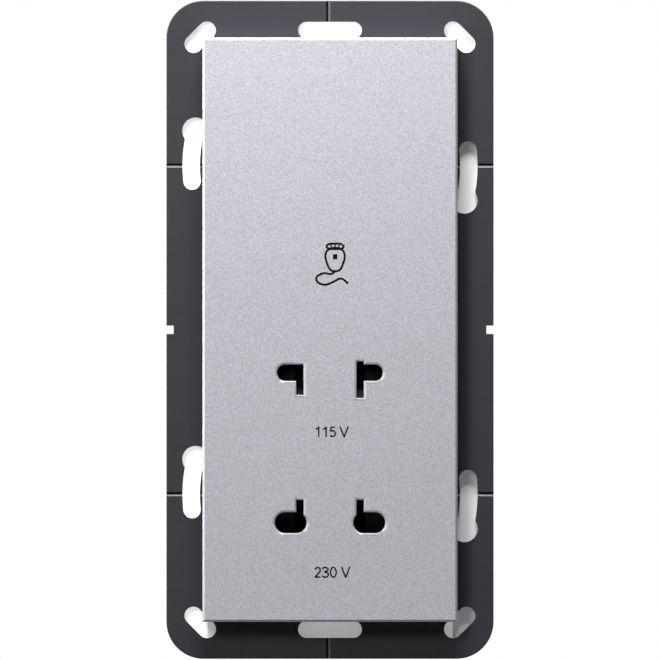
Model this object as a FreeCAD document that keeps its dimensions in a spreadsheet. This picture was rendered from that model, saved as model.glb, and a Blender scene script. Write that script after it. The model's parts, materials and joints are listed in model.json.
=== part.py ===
import FreeCAD, Part
import math
import os
from types import SimpleNamespace

import Sketcher

# Driving dimensions in millimetres and degrees: X to the right, Y into the wall, Z up.
# The origin is the centre of the wall plane, which is the back face of the support frame.
dimensions = {
    # Support frame
    "frame_w": 70.7,
    "frame_tall": 142.2,
    "frame_t": 2.0,
    "frame_corner_r": 8.0,
    "frame_edge": 0.25,
    "gang_pitch": 71.0,
    "notch_tall": 1.8,
    "notch_deep": 1.55,
    "groove_w": 1.15,
    "groove_deep": 0.5,
    "groove_shift": 0.4,
    "end_slot_inset": 6.35,
    "end_slot_long": 13.8,
    "end_slot_w": 3.66,
    "corner_slot_inset_x": 7.3,
    "corner_slot_inset_z": 7.85,
    "corner_slot_reach": 1.45,
    "corner_slot_r": 1.95,
    "keyhole_circle_r": 30.0,
    "keyhole_w": 3.8,
    "keyhole_head_r": 2.88,
    "keyhole_head_angle": 14.5,
    "keyhole_tail_angle": 6.4,
    # Cover
    "cover_w": 55.0,
    "cover_tall": 126.0,
    "cover_deep": 9.0,
    "cover_wall": 1.8,
    "cover_face_t": 2.0,
    "cover_edge": 0.45,
    "hook_z": 38.0,
    "hook_w": 8.0,
    "hook_t": 1.4,
    "hook_nose": 0.7,
    "hook_nose_tall": 1.4,
    "hook_end_gap": 0.6,
    # Socket holes, with heights given as distances below the middle of the cover
    "hole_edge": 0.3,
    "blade_x": 6.5,
    "blade_w": 1.6,
    "outlet_115_drop": 9.25,
    "hole_115_tall": 3.55,
    "hole_115_end_x": 9.65,
    "narrow_blade_drop": 14.06,
    "wide_blade_top": 6.81,
    "wide_blade_drop": 14.73,
    "outlet_230_drop": 41.6,
    "hole_230_tall": 4.54,
    "hole_230_end_x": 9.66,
    "blade_230_top": 36.69,
    # Shutter slide and its return springs
    "slide_w": 29.4,
    "slide_t": 1.6,
    "slide_travel": 4.7,
    "slide_margin": 1.3,
    "slide_gap": 0.2,
    "window_gap": 0.25,
    "ramp_deep": 5.4,
    "ear_w": 3.5,
    "ear_tall": 4.0,
    "ear_deep": 3.7,
    "spring_r": 1.3,
    "spring_wire_r": 0.22,
    "spring_long": 14.4,
    "spring_turns": 3.0,
    # Contact carrier
    "deck_w": 44.8,
    "deck_tall": 111.0,
    "deck_corner_r": 1.5,
    "deck_wall": 1.8,
    "part_gap": 0.2,
    "flange_w": 50.6,
    "flange_tall": 123.0,
    "flange_corner_r": 2.0,
    "flange_t": 2.5,
    "seat_deep": 0.4,
    "block_w": 39.2,
    "block_top_drop": 2.5,
    "block_foot_drop": 52.0,
    "block_back": 8.4,
    "chamber_in": 4.6,
    "chamber_out": 13.0,
    "chamber_room": 0.9,
    # Spring contacts
    "strip_t": 0.5,
    "contact_mouth_y": -2.4,
    "contact_base_y": 7.0,
    "contact_bow": 0.7,
    "contact_w": 6.0,
    "tail_w": 2.2,
    "bar_w": 3.6,
    # Slide switch
    "bridge_w": 7.2,
    "bridge_tall": 3.0,
    "bridge_t": 0.4,
    "stud_x": 2.5,
    "stud_w": 2.0,
    "stud_t": 0.8,
    "stud_head_t": 0.7,
    "dome_r": 0.9,
    "switch_room": 1.3,
    # Circuit board
    "board_w": 43.8,
    "board_top": 54.5,
    "board_foot": 53.5,
    "board_front": 9.0,
    "board_t": 1.6,
    "post_x": 18.2,
    "post_z": 49.5,
    "post_w": 5.0,
    "pin_tip": 0.4,
    "board_screw_r": 1.0,
    "board_screw_long": 7.0,
    "small_head_r": 2.0,
    "small_head_t": 1.3,
    "drive_slot_w": 0.6,
    "drive_slot_deep": 0.7,
    "running_gap": 0.04,
    # Transformer
    "core_z": 28.0,
    "core_w": 45.0,
    "core_tall": 54.0,
    "core_stack": 18.8,
    "core_mid_y": 28.2,
    "core_leg": 9.0,
    "core_hole_x": 18.0,
    "core_hole_z": 22.5,
    "core_hole_r": 1.75,
    "core_screw_r": 1.45,
    "core_screw_head_r": 3.1,
    "core_screw_head_t": 2.0,
    "core_pad_w": 6.8,
    "core_screw_bite": 5.5,
    "former_gap": 0.2,
    "former_wall": 1.0,
    "former_flange_t": 1.0,
    "former_flange_z": 17.7,
    "former_flange_y": 17.0,
    "winding_z": 16.9,
    "winding_y": 16.0,
    "winding_r": 4.0,
    "rail_w": 4.0,
    "rail_deep": 3.0,
    "pin_w": 0.8,
    "pin_pitch": 12.0,
    # Thermal cut-out
    "cutout_w": 14.0,
    "cutout_tall": 9.0,
    "cutout_deep": 5.0,
    "cutout_drop": 8.5,
    "cutout_corner_r": 1.0,
    # Mains terminals
    "terminal_w": 22.0,
    "terminal_tall": 12.0,
    "terminal_deep": 14.0,
    "terminal_foot_drop": 54.0,
    "pole_x": 5.2,
    "wire_hole_r": 1.8,
    "wire_y": 16.6,
    "clamp_size": 6.6,
    "clamp_wall": 1.1,
    "terminal_screw_r": 1.5,
    "terminal_screw_head_r": 2.1,
    "terminal_screw_head_t": 2.0,
    # Rear housing
    "housing_w": 49.0,
    "housing_tall": 115.0,
    "housing_wall": 1.8,
    "housing_corner_r": 2.5,
    "housing_flange_t": 2.5,
    "housing_deep": 47.2,
    "housing_step_deep": 29.3,
    "housing_step_drop": 1.5,
    "boss_w": 5.4,
    "boss_long": 9.0,
    "access_w": 18.0,
    "access_tall": 8.0,
    "access_drop": 48.0,
    "entry_front": 13.0,
    "entry_back": 20.0,
    # Screws that hold frame, carrier and housing together
    "screw_x": 15.0,
    "screw_inset": 12.3,
    "screw_r": 1.3,
    "screw_pass_r": 1.6,
    "screw_head_r": 2.1,
    "screw_head_t": 1.7,
    "screw_long": 12.5,
}

doc = FreeCAD.newDocument("shaver_socket")
sheet = doc.addObject("Spreadsheet::Sheet", "sizes")
for row, (alias, value) in enumerate(dimensions.items(), start=1):
    sheet.set(f"A{row}", alias)
    sheet.set(f"B{row}", str(value))
    sheet.setAlias(f"B{row}", alias)
doc.recompute()


# A size carries its value in millimetres and the expression that binds it to the sheet
class Size:
    def __init__(self, value, text):
        self.value = value
        self.text = text

    def __add__(self, other):
        other = sized(other)
        return Size(self.value + other.value, f"({self.text} + {other.text})")

    def __sub__(self, other):
        other = sized(other)
        return Size(self.value - other.value, f"({self.text} - {other.text})")

    def __mul__(self, other):
        other = sized(other)
        return Size(self.value * other.value, f"({self.text} * {other.text})")

    def __truediv__(self, other):
        other = sized(other)
        return Size(self.value / other.value, f"({self.text} / {other.text})")

    def __neg__(self):
        return Size(-self.value, f"(-1 * {self.text})")


def sized(number):
    return number if isinstance(number, Size) else Size(float(number), f"({float(number)})")


def cosine(angle):
    return Size(math.cos(math.radians(angle.value)), f"cos({angle.text} * 1deg)")


def sine(angle):
    return Size(math.sin(math.radians(angle.value)), f"sin({angle.text} * 1deg)")


def root(size):
    return Size(math.sqrt(size.value), f"sqrt({size.text})")


d = SimpleNamespace(**{alias: Size(value, f"sizes.{alias}") for alias, value in dimensions.items()})
zero = sized(0)
half = sized(0.5)
least_step = 0.0001

# Levels along Y, from the front to the back
cover_front = -(d.frame_t + d.cover_deep)
cover_inner = cover_front + d.cover_face_t
deck_front = cover_inner + d.part_gap
slide_front = deck_front + d.slide_gap
slide_back = slide_front + d.slide_t
channel_floor = slide_back + d.slide_gap
switch_floor = channel_floor + d.switch_room
board_back = d.board_front + d.board_t
pin_front = d.board_front - d.pin_tip
core_front = d.core_mid_y - d.core_stack * half
core_back = d.core_mid_y + d.core_stack * half
terminal_back = board_back + d.terminal_deep
housing_inner = d.housing_deep - d.housing_wall
housing_step_inner = d.housing_step_deep - d.housing_wall

# Levels along Z
screw_z = d.frame_tall * half - d.screw_inset
outlet_115 = -d.outlet_115_drop
outlet_230 = -d.outlet_230_drop
pin_115_r = d.hole_115_tall * half
pin_230_r = d.hole_230_tall * half
blade_in = d.blade_x - d.blade_w * half
blade_out = d.blade_x + d.blade_w * half
slide_top = d.slide_travel + d.slide_margin - d.wide_blade_top
slide_foot = outlet_230 - pin_230_r - d.slide_travel - d.slide_margin
slide_mid = (slide_top + slide_foot) * half
chamber_115_top = d.chamber_room - d.wide_blade_top
chamber_115_foot = -(d.wide_blade_drop + d.slide_travel + d.slide_gap)
chamber_230_top = d.slide_travel + d.slide_gap - d.blade_230_top
chamber_230_foot = outlet_230 - pin_230_r - d.chamber_room
ramp_115_edge = outlet_115 - pin_115_r - d.window_gap
ramp_230_edge = outlet_230 + pin_230_r
ramp_115_top = ramp_115_edge + d.slide_travel * 2 + d.slide_gap
ramp_230_foot = ramp_230_edge - d.slide_travel * 2 - d.slide_gap
ear_top = slide_mid + d.ear_tall * half
ear_foot = slide_mid - d.ear_tall * half


# Sketch outlines: a list of corner points and the arcs that replace some of the straight runs.
# An arc is keyed by the point it starts from and holds its centre, radius and turn.
def rectangle(left, right, low, high):
    return [(left, low), (right, low), (right, high), (left, high)], {}


def rounded_rectangle(left, right, low, high, radius):
    points = [
        (left + radius, low),
        (right - radius, low),
        (right, low + radius),
        (right, high - radius),
        (right - radius, high),
        (left + radius, high),
        (left, high - radius),
        (left, low + radius),
    ]
    arcs = {
        1: (right - radius, low + radius, radius, 1),
        3: (right - radius, high - radius, radius, 1),
        5: (left + radius, high - radius, radius, 1),
        7: (left + radius, low + radius, radius, 1),
    }
    return points, arcs


def level_slot(middle_z, long, wide):
    radius = wide * half
    reach = long * half - radius
    points = [
        (-reach, middle_z - radius),
        (reach, middle_z - radius),
        (reach, middle_z + radius),
        (-reach, middle_z + radius),
    ]
    return points, {1: (reach, middle_z, radius, 1), 3: (-reach, middle_z, radius, 1)}


def corner_slot():
    side = d.corner_slot_r * cosine(sized(45))
    middle_x = d.frame_w * half - d.corner_slot_inset_x
    middle_z = d.frame_tall * half - d.corner_slot_inset_z
    upper = (middle_x - d.corner_slot_reach, middle_z + d.corner_slot_reach)
    lower = (middle_x + d.corner_slot_reach, middle_z - d.corner_slot_reach)
    points = [
        (upper[0] - side, upper[1] - side),
        (lower[0] - side, lower[1] - side),
        (lower[0] + side, lower[1] + side),
        (upper[0] + side, upper[1] + side),
    ]
    return points, {1: (*lower, d.corner_slot_r, 1), 3: (*upper, d.corner_slot_r, 1)}


def on_circle(radius, angle):
    return radius * cosine(angle), radius * sine(angle)


# The curved part of a keyhole on the right of a gang, about the gang's centre
def keyhole_arc():
    head = -d.keyhole_head_angle
    tail = d.keyhole_tail_angle
    end_r = d.keyhole_w * half
    inner = d.keyhole_circle_r - end_r
    outer = d.keyhole_circle_r + end_r
    points = [
        on_circle(inner, head),
        on_circle(outer, head),
        on_circle(outer, tail),
        on_circle(inner, tail),
    ]
    arcs = {
        0: (*on_circle(d.keyhole_circle_r, head), end_r, 1),
        1: (zero, zero, outer, 1),
        2: (*on_circle(d.keyhole_circle_r, tail), end_r, 1),
        3: (zero, zero, inner, -1),
    }
    return points, arcs


def moved(outline, side_x, side_z, shift_z=zero):
    points, arcs = outline
    moved_points = [(x * side_x, z * side_z + shift_z) for x, z in points]
    moved_arcs = {
        key: (x * side_x, z * side_z + shift_z, radius, turn * side_x * side_z)
        for key, (x, z, radius, turn) in arcs.items()
    }
    return moved_points, moved_arcs


# Right-hand 115 V hole: a round-ended slot for a pin, with a slot for a flat blade across it
def hole_115(blade_top, blade_drop):
    top = outlet_115 + pin_115_r
    foot = outlet_115 - pin_115_r
    end = d.hole_115_end_x
    shoulder = [] if blade_top is None else [(blade_out, top), (blade_out, -blade_top)]
    crown = top if blade_top is None else -blade_top
    points = [
        (end, top),
        *shoulder,
        (blade_in, crown),
        (blade_in, -blade_drop),
        (blade_out, -blade_drop),
        (blade_out, foot),
        (end, foot),
    ]
    return points, {len(points) - 1: (end, outlet_115, pin_115_r, 1)}


# Right-hand 230 V hole: an oval for round pins, with a blade slot running up from it
def hole_230():
    top = outlet_230 + pin_230_r
    foot = outlet_230 - pin_230_r
    end = d.hole_230_end_x
    join = outlet_230 + root(pin_230_r * pin_230_r - d.blade_w * d.blade_w)
    points = [
        (end, top),
        (blade_out, top),
        (blade_out, -d.blade_230_top),
        (blade_in, -d.blade_230_top),
        (blade_in, join),
        (blade_out, foot),
        (end, foot),
    ]
    return points, {4: (blade_out, outlet_230, pin_230_r, 1), 6: (end, outlet_230, pin_230_r, 1)}


def arc_segment(start, end, arc):
    centre = FreeCAD.Vector(arc[0].value, arc[1].value, 0)
    circle = Part.Circle(centre, FreeCAD.Vector(0, 0, 1), arc[2].value)
    first, last = (start, end) if arc[3] > 0 else (end, start)
    begin = math.atan2(first.y - centre.y, first.x - centre.x)
    finish = math.atan2(last.y - centre.y, last.x - centre.x)
    if finish <= begin:
        finish += 2 * math.pi
    return Part.ArcOfCircle(circle, begin, finish)


# Adds constraints in one go and binds each one that comes with a size
def constrain(sketch, wanted):
    numbers = sketch.addConstraint([constraint for constraint, _ in wanted])
    for number, (_, size) in zip(numbers, wanted):
        if size is not None:
            sketch.setExpression(f"Constraints[{number}]", size.text)


def distance(axis, number, place, size):
    return Sketcher.Constraint(f"Distance{axis}", -1, 1, number, place, size.value), size


# A half circle is held by its centre, and a shorter arc by its radius
def arc_constraint(number, start, end, arc):
    x, y, radius, _ = arc
    if (end - start).Length < radius.value * 2 - least_step:
        return Sketcher.Constraint("Radius", number, radius.value), radius
    upright = abs(end.y - start.y) > abs(end.x - start.x)
    return distance("X", number, 3, x) if upright else distance("Y", number, 3, y)


def draw(sketch, outline):
    points, arcs = outline
    corners = [FreeCAD.Vector(x.value, y.value, 0) for x, y in points]
    ends = []
    wanted = []
    for index, start in enumerate(corners):
        end = corners[(index + 1) % len(corners)]
        if index in arcs:
            number = sketch.addGeometry(arc_segment(start, end, arcs[index]))
            ends.append((number, 1, 2) if arcs[index][3] > 0 else (number, 2, 1))
            wanted.append(arc_constraint(number, start, end, arcs[index]))
        else:
            ends.append((sketch.addGeometry(Part.LineSegment(start, end)), 1, 2))
    for index, (number, start, _) in enumerate(ends):
        before, _, stop = ends[index - 1]
        wanted.append((Sketcher.Constraint("Coincident", before, stop, number, start), None))
        wanted.append(distance("X", number, start, points[index][0]))
        wanted.append(distance("Y", number, start, points[index][1]))
    constrain(sketch, wanted)


def draw_circle(sketch, x, y, radius):
    centre = FreeCAD.Vector(x.value, y.value, 0)
    number = sketch.addGeometry(Part.Circle(centre, FreeCAD.Vector(0, 0, 1), radius.value))
    size = Sketcher.Constraint("Radius", number, radius.value)
    constrain(sketch, [distance("X", number, 3, x), distance("Y", number, 3, y), (size, radius)])


# Body features. A sketch on XZ_Plane looks at the front, so its offset is counted towards the front.
def sketch_on(body, role, offset):
    plane = next(item for item in body.Origin.OriginFeatures if item.Role == role)
    sketch = body.newObject("Sketcher::SketchObject", "outline")
    sketch.AttachmentSupport = [(plane, "")]
    sketch.MapMode = "FlatFace"
    sketch.setExpression("AttachmentOffset.Base.z", offset.text)
    return sketch


def pad(body, sketch, length):
    feature = body.newObject("PartDesign::Pad", "pad")
    feature.Profile = sketch
    feature.setExpression("Length", length.text)
    doc.recompute()


def pocket(body, sketch, length, towards_front=False):
    before = body.Shape.Volume
    feature = body.newObject("PartDesign::Pocket", "pocket")
    feature.Profile = sketch
    feature.Reversed = towards_front
    feature.setExpression("Length", length.text)
    doc.recompute()
    if body.Shape.Volume >= before:
        raise RuntimeError(f"a pocket in {body.Label} cuts nothing")


def ease_edges(body, kind, size, chosen):
    base = body.Tip
    names = [f"Edge{number}" for number, edge in enumerate(base.Shape.Edges, start=1) if chosen(edge)]
    feature = body.newObject(f"PartDesign::{kind}", kind.lower())
    feature.Base = (base, names)
    feature.setExpression("Radius" if kind == "Fillet" else "Size", size.text)
    doc.recompute()


def lies_at_y(edge, level):
    box = edge.BoundBox
    return abs(box.YMin - level.value) < least_step and abs(box.YMax - level.value) < least_step


# A flat block seen from the front, from its back level to its front level
def slab(name, outline, back, front):
    body = doc.addObject("PartDesign::Body", name)
    sketch = sketch_on(body, "XZ_Plane", -back)
    draw(sketch, outline)
    pad(body, sketch, back - front)
    return body


# A block with its outline in Y and Z, from left to right
def beam(name, outline, left, right):
    body = doc.addObject("PartDesign::Body", name)
    sketch = sketch_on(body, "YZ_Plane", left)
    draw(sketch, outline)
    pad(body, sketch, right - left)
    return body


def bind_place(solid, x, y, z):
    for axis, size in (("x", x), ("y", y), ("z", z)):
        solid.setExpression(f"Placement.Base.{axis}", size.text)


def block(name, x, y, z):
    solid = doc.addObject("Part::Box", name)
    for side, (low, high) in (("Length", x), ("Width", y), ("Height", z)):
        solid.setExpression(side, (high - low).text)
    bind_place(solid, x[0], y[0], z[0])
    return solid


turns = {
    "x": FreeCAD.Rotation(FreeCAD.Vector(0, 1, 0), 90),
    "y": FreeCAD.Rotation(FreeCAD.Vector(1, 0, 0), -90),
    "z": FreeCAD.Rotation(),
}


def rod(name, axis, start, radius, long):
    solid = doc.addObject("Part::Cylinder", name)
    solid.Placement = FreeCAD.Placement(FreeCAD.Vector(), turns[axis])
    solid.setExpression("Radius", radius.text)
    solid.setExpression("Height", long.text)
    bind_place(solid, *start)
    return solid


def fuse(name, *solids):
    joined = doc.addObject("Part::MultiFuse", name)
    joined.Shapes = list(solids)
    joined.Refine = True
    return joined


def cut(name, base, *tools):
    result = doc.addObject("Part::Cut", name)
    result.Base = base
    result.Tool = tools[0] if len(tools) == 1 else fuse("cutters", *tools)
    result.Refine = True
    return result


def group(name, solids):
    together = doc.addObject("Part::Compound", name)
    together.Links = solids
    return together


# The four corners of a rectangle round the middle
def corners(x, z):
    return [(x * side_x, z * side_z) for side_x in (-1, 1) for side_z in (-1, 1)]


# A screw along Y, with its flat head towards the front or the back
def screw(place, seat, head_r, head_t, shank_r, long, head_to_front):
    x, z = place
    head_start, shank_start = (seat - head_t, seat) if head_to_front else (seat, seat - long)
    head = rod("head", "y", (x, head_start, z), head_r, head_t)
    shank = rod("shank", "y", (x, shank_start, z), shank_r, long)
    return fuse("screw", head, shank)


def around(middle, reach):
    return middle - reach, middle + reach


# A square pin along Y
def square_pin(name, place, start, end, width):
    x, z = place
    return block(name, around(x, width * half), (start, end), around(z, width * half))


# The die-cast frame that carries everything and is fixed over the wall box
def make_support_frame():
    side = d.frame_w * half
    top = d.frame_tall * half
    outline = rounded_rectangle(-side, side, -top, top, d.frame_corner_r)
    body = slab("support_frame", outline, zero, -d.frame_t)
    ease_edges(body, "Chamfer", d.frame_edge, lambda edge: lies_at_y(edge, -d.frame_t))

    openings = sketch_on(body, "XZ_Plane", d.frame_t)
    window_x = d.deck_w * half + d.part_gap
    window_z = d.deck_tall * half + d.part_gap
    window_r = d.deck_corner_r + d.part_gap
    draw(openings, rounded_rectangle(-window_x, window_x, -window_z, window_z, window_r))
    for up in (-1, 1):
        draw(openings, level_slot((top - d.end_slot_inset) * up, d.end_slot_long, d.end_slot_w))
        gang = d.gang_pitch * half * up
        for side_x in (-1, 1):
            draw(openings, moved(corner_slot(), side_x, up))
            draw(openings, moved(keyhole_arc(), side_x, side_x, gang))
    for x, z in corners(d.screw_x, screw_z):
        draw_circle(openings, x, z, d.screw_pass_r)
    notch = rectangle(side - d.notch_deep, side + d.notch_deep, -d.notch_tall * half, d.notch_tall * half)
    for side_x in (-1, 1):
        draw(openings, moved(notch, side_x, 1))
    pocket(body, openings, d.frame_t)

    heads = sketch_on(body, "XZ_Plane", d.frame_t)
    head_x, head_z = on_circle(d.keyhole_circle_r, -d.keyhole_head_angle)
    for up in (-1, 1):
        for side_x in (-1, 1):
            gang = d.gang_pitch * half * up
            draw_circle(heads, head_x * side_x, head_z * side_x + gang, d.keyhole_head_r)
    pocket(body, heads, d.frame_t)

    # A shallow seat in the back, in which the contact carrier's flange lies
    seat = sketch_on(body, "XZ_Plane", zero)
    seat_x = d.flange_w * half + d.part_gap
    seat_z = d.flange_tall * half + d.part_gap
    draw(seat, rounded_rectangle(-seat_x, seat_x, -seat_z, seat_z, d.flange_corner_r + d.part_gap))
    pocket(body, seat, d.seat_deep, towards_front=True)

    # V-grooves that mark the middle of each gang and the vertical middle line
    for role, middles, reach in (
        ("YZ_Plane", (-d.gang_pitch * half, d.gang_pitch * half), d.frame_w),
        ("XY_Plane", (-d.groove_shift,), d.frame_tall),
    ):
        grooves = sketch_on(body, role, -reach * half)
        for middle in middles:
            groove = [
                (-d.frame_t, middle - d.groove_w * half),
                (-d.frame_t, middle + d.groove_w * half),
                (d.groove_deep - d.frame_t, middle),
            ]
            if role == "XY_Plane":
                groove = [(across, level) for level, across in groove]
            draw(grooves, (groove, {}))
        pocket(body, grooves, reach, towards_front=True)
    return body


# The silver cover: a shell with eased edges, four holes and four snap hooks inside
def make_cover():
    side = d.cover_w * half
    top = d.cover_tall * half
    body = slab("cover", rectangle(-side, side, -top, top), -d.frame_t, cover_front)
    ease_edges(body, "Chamfer", d.cover_edge, lambda edge: lies_at_y(edge, cover_front))

    hollow = sketch_on(body, "XZ_Plane", d.frame_t)
    inner_x = side - d.cover_wall
    inner_z = top - d.cover_wall
    draw(hollow, rectangle(-inner_x, inner_x, -inner_z, inner_z))
    pocket(body, hollow, d.cover_deep - d.cover_face_t, towards_front=True)

    holes = sketch_on(body, "XZ_Plane", -cover_front)
    draw(holes, moved(hole_115(None, d.narrow_blade_drop), -1, 1))
    draw(holes, hole_115(d.wide_blade_top, d.wide_blade_drop))
    draw(holes, moved(hole_230(), -1, 1))
    draw(holes, hole_230())
    pocket(body, holes, d.cover_face_t)
    inside_x = side - d.cover_edge - d.cover_edge
    ease_edges(
        body,
        "Chamfer",
        d.hole_edge,
        lambda edge: lies_at_y(edge, cover_front) and abs(edge.CenterOfMass.x) < inside_x.value
        and edge.Length < d.cover_w.value * half.value,
    )

    hook_in = d.deck_w * half + d.part_gap
    hook_end = -d.frame_t - d.hook_end_gap
    hook_places = [(side_x, up) for side_x in (-1, 1) for up in (-1, 1)]
    legs = sketch_on(body, "XZ_Plane", -hook_end)
    for side_x, up in hook_places:
        low = d.hook_z * up - d.hook_w * half
        leg = rectangle(hook_in, hook_in + d.hook_t, low, low + d.hook_w)
        draw(legs, moved(leg, side_x, 1))
    pad(body, legs, hook_end - cover_inner)
    nose_back = hook_end - d.hook_end_gap
    noses = sketch_on(body, "XZ_Plane", -nose_back)
    for side_x, up in hook_places:
        low = d.hook_z * up - d.hook_w * half
        nose = rectangle(hook_in - d.hook_nose, hook_in, low, low + d.hook_w)
        draw(noses, moved(nose, side_x, 1))
    pad(body, noses, d.hook_nose_tall)
    return body


# The black moulding that comes through the frame's window, carries the contacts and guides the slide
def make_contact_carrier():
    deck_x = d.deck_w * half
    deck_z = d.deck_tall * half
    deck_outline = rounded_rectangle(-deck_x, deck_x, -deck_z, deck_z, d.deck_corner_r)
    deck = slab("deck", deck_outline, zero, deck_front)
    flange_x = d.flange_w * half
    flange_z = d.flange_tall * half
    flange = slab(
        "flange",
        rounded_rectangle(-flange_x, flange_x, -flange_z, flange_z, d.flange_corner_r),
        d.flange_t,
        -d.seat_deep,
    )
    chest_x = d.block_w * half
    chest_z = (-d.block_foot_drop, -d.block_top_drop)
    chest = block("chest", (-chest_x, chest_x), (zero, d.block_back), chest_z)
    hollow = block(
        "hollow",
        (d.deck_wall - deck_x, deck_x - d.deck_wall),
        (deck_front + d.deck_wall, d.flange_t),
        (slide_top + d.slide_travel + d.deck_wall, deck_z - d.deck_wall),
    )
    shell = cut("carrier_shell", fuse("carrier_blank", deck, flange, chest), hollow)
    posts = []
    for place in corners(d.post_x, d.post_z):
        start = deck_front + d.deck_wall if place[1].value > 0 else zero
        posts.append(square_pin("post", place, start, d.board_front, d.post_w))
    bores = []
    bore_long = d.board_screw_long + d.part_gap
    for x, z in board_screw_places():
        start = (x, d.board_front - bore_long, z)
        bores.append(rod("bore", "y", start, d.board_screw_r + d.running_gap, bore_long))
    for place in corners(d.screw_x, screw_z):
        bores.append(square_pin("screw_way", place, -d.seat_deep, d.flange_t, d.screw_pass_r * 2))

    channel_x = d.slide_w * half + d.slide_gap
    channel = block(
        "channel",
        (-channel_x, channel_x),
        (deck_front, channel_floor),
        (slide_foot - d.slide_travel - d.slide_gap, slide_top + d.slide_travel + d.slide_gap),
    )
    cutters = [channel]
    for side_x in (-1, 1):
        ends = (d.chamber_in, d.chamber_out) if side_x > 0 else (-d.chamber_out, -d.chamber_in)
        for foot, top in ((chamber_115_foot, chamber_115_top), (chamber_230_foot, chamber_230_top)):
            cutters.append(block("chamber", ends, (channel_floor, d.block_back), (foot, top)))
        ramp_back = slide_front + d.ramp_deep + d.slide_gap
        for foot, top in ((chamber_115_foot, ramp_115_top), (ramp_230_foot, chamber_230_top)):
            cutters.append(block("ramp_room", ends, (channel_floor, ramp_back), (foot, top)))
        near = d.slide_w * half
        far = near + d.ear_w + d.slide_gap
        ends = (near, far) if side_x > 0 else (-far, -near)
        cutters.append(
            block(
                "spring_pocket",
                ends,
                (deck_front, slide_front + d.ear_deep + d.slide_gap),
                (ear_foot - d.spring_long, ear_top + d.spring_long),
            )
        )
        hook_x = (deck_x - d.hook_nose, deck_x) if side_x > 0 else (-deck_x, d.hook_nose - deck_x)
        for up in (-1, 1):
            hook_mid = d.hook_z * up
            hook_reach = d.hook_w * half + d.part_gap
            nose_back = -d.frame_t - d.hook_end_gap - d.hook_end_gap
            hook_y = (nose_back - d.hook_nose_tall - d.part_gap, nose_back + d.part_gap)
            hook_z = (hook_mid - hook_reach, hook_mid + hook_reach)
            cutters.append(block("hook_pocket", hook_x, hook_y, hook_z))
    switch_x = d.bridge_w * half + d.slide_gap
    switch_reach = d.slide_travel + d.bridge_tall * half + d.slide_gap
    cutters.append(
        block(
            "switch_pit",
            (-switch_x, switch_x),
            (channel_floor, switch_floor),
            (slide_mid - switch_reach, slide_mid + switch_reach),
        )
    )
    for place in stud_places():
        head_back = switch_floor - d.part_gap + d.stud_head_t
        head_w = d.stud_w + d.running_gap * 2
        shank_w = d.stud_t + d.running_gap * 2
        cutters.append(square_pin("stud_seat", place, switch_floor, head_back, head_w))
        cutters.append(square_pin("stud_way", place, switch_floor, d.block_back, shank_w))
    bar_x = contact_mid_x()
    bar_reach = d.bar_w * half + d.part_gap
    cutters.append(
        block(
            "bar_groove",
            (-bar_x - bar_reach, bar_reach - bar_x),
            (d.contact_base_y - d.strip_t * half - d.part_gap, d.block_back),
            (chamber_230_top, chamber_115_foot),
        )
    )
    carrier = cut("contact_carrier", fuse("carrier_posts", shell, *posts), *bores, *cutters)
    return carrier


def board_screw_places():
    return [(-d.post_x, d.post_z), (d.post_x, -d.post_z)]


def stud_places():
    return [(d.stud_x * side_x, slide_mid + d.slide_travel * up) for side_x in (-1, 1) for up in (-1, 1)]


def contact_mid_x():
    return (d.chamber_in + d.chamber_out) * half


# The slide that closes both outlets. Pushed down it frees the 115 V holes, pushed up the 230 V holes.
def make_shutter_slide():
    reach = d.slide_w * half
    plate = block("slide_plate", (-reach, reach), (slide_front, slide_back), (slide_foot, slide_top))
    ears = []
    windows = []
    ramps = []
    for side_x in (-1, 1):
        ends = (reach, reach + d.ear_w) if side_x > 0 else (-reach - d.ear_w, -reach)
        ears.append(block("ear", ends, (slide_front, slide_front + d.ear_deep), (ear_foot, ear_top)))
        blade_drop = d.wide_blade_drop if side_x > 0 else d.narrow_blade_drop
        pin_end = d.hole_115_end_x + pin_115_r + d.window_gap
        oval_end = d.hole_230_end_x + pin_230_r + d.window_gap
        split = blade_out + d.window_gap
        inner = blade_in - d.window_gap
        oval_in = blade_out - pin_230_r - d.window_gap
        columns = (
            (split, pin_end, ramp_115_edge, -1, outlet_115 + pin_115_r),
            (inner, split, -blade_drop, -1, -d.wide_blade_top),
            (split, oval_end, ramp_230_edge, 1, outlet_230 - pin_230_r),
            (oval_in, split, -d.blade_230_top, 1, outlet_230 - pin_230_r),
        )
        # Each column has a window and a ramp that turns the push of a pin into the slide's travel
        for near, far, front_z, way, open_z in columns:
            ends = (near, far) if side_x > 0 else (-far, -near)
            deep_z = front_z - d.slide_travel * way
            far_z = open_z - (d.slide_travel + d.window_gap) * way
            span = (front_z, far_z) if way < 0 else (far_z, front_z)
            windows.append(block("slide_window", ends, (slide_front, slide_back), span))
            wedge = [
                (slide_front, front_z),
                (slide_front + d.ramp_deep, front_z),
                (slide_front + d.ramp_deep, deep_z),
            ]
            ramps.append(beam("ramp", (wedge, {}), *ends))
    return fuse("shutter_slide", cut("slide_blank", plate, *windows), *ears, *ramps)


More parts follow.
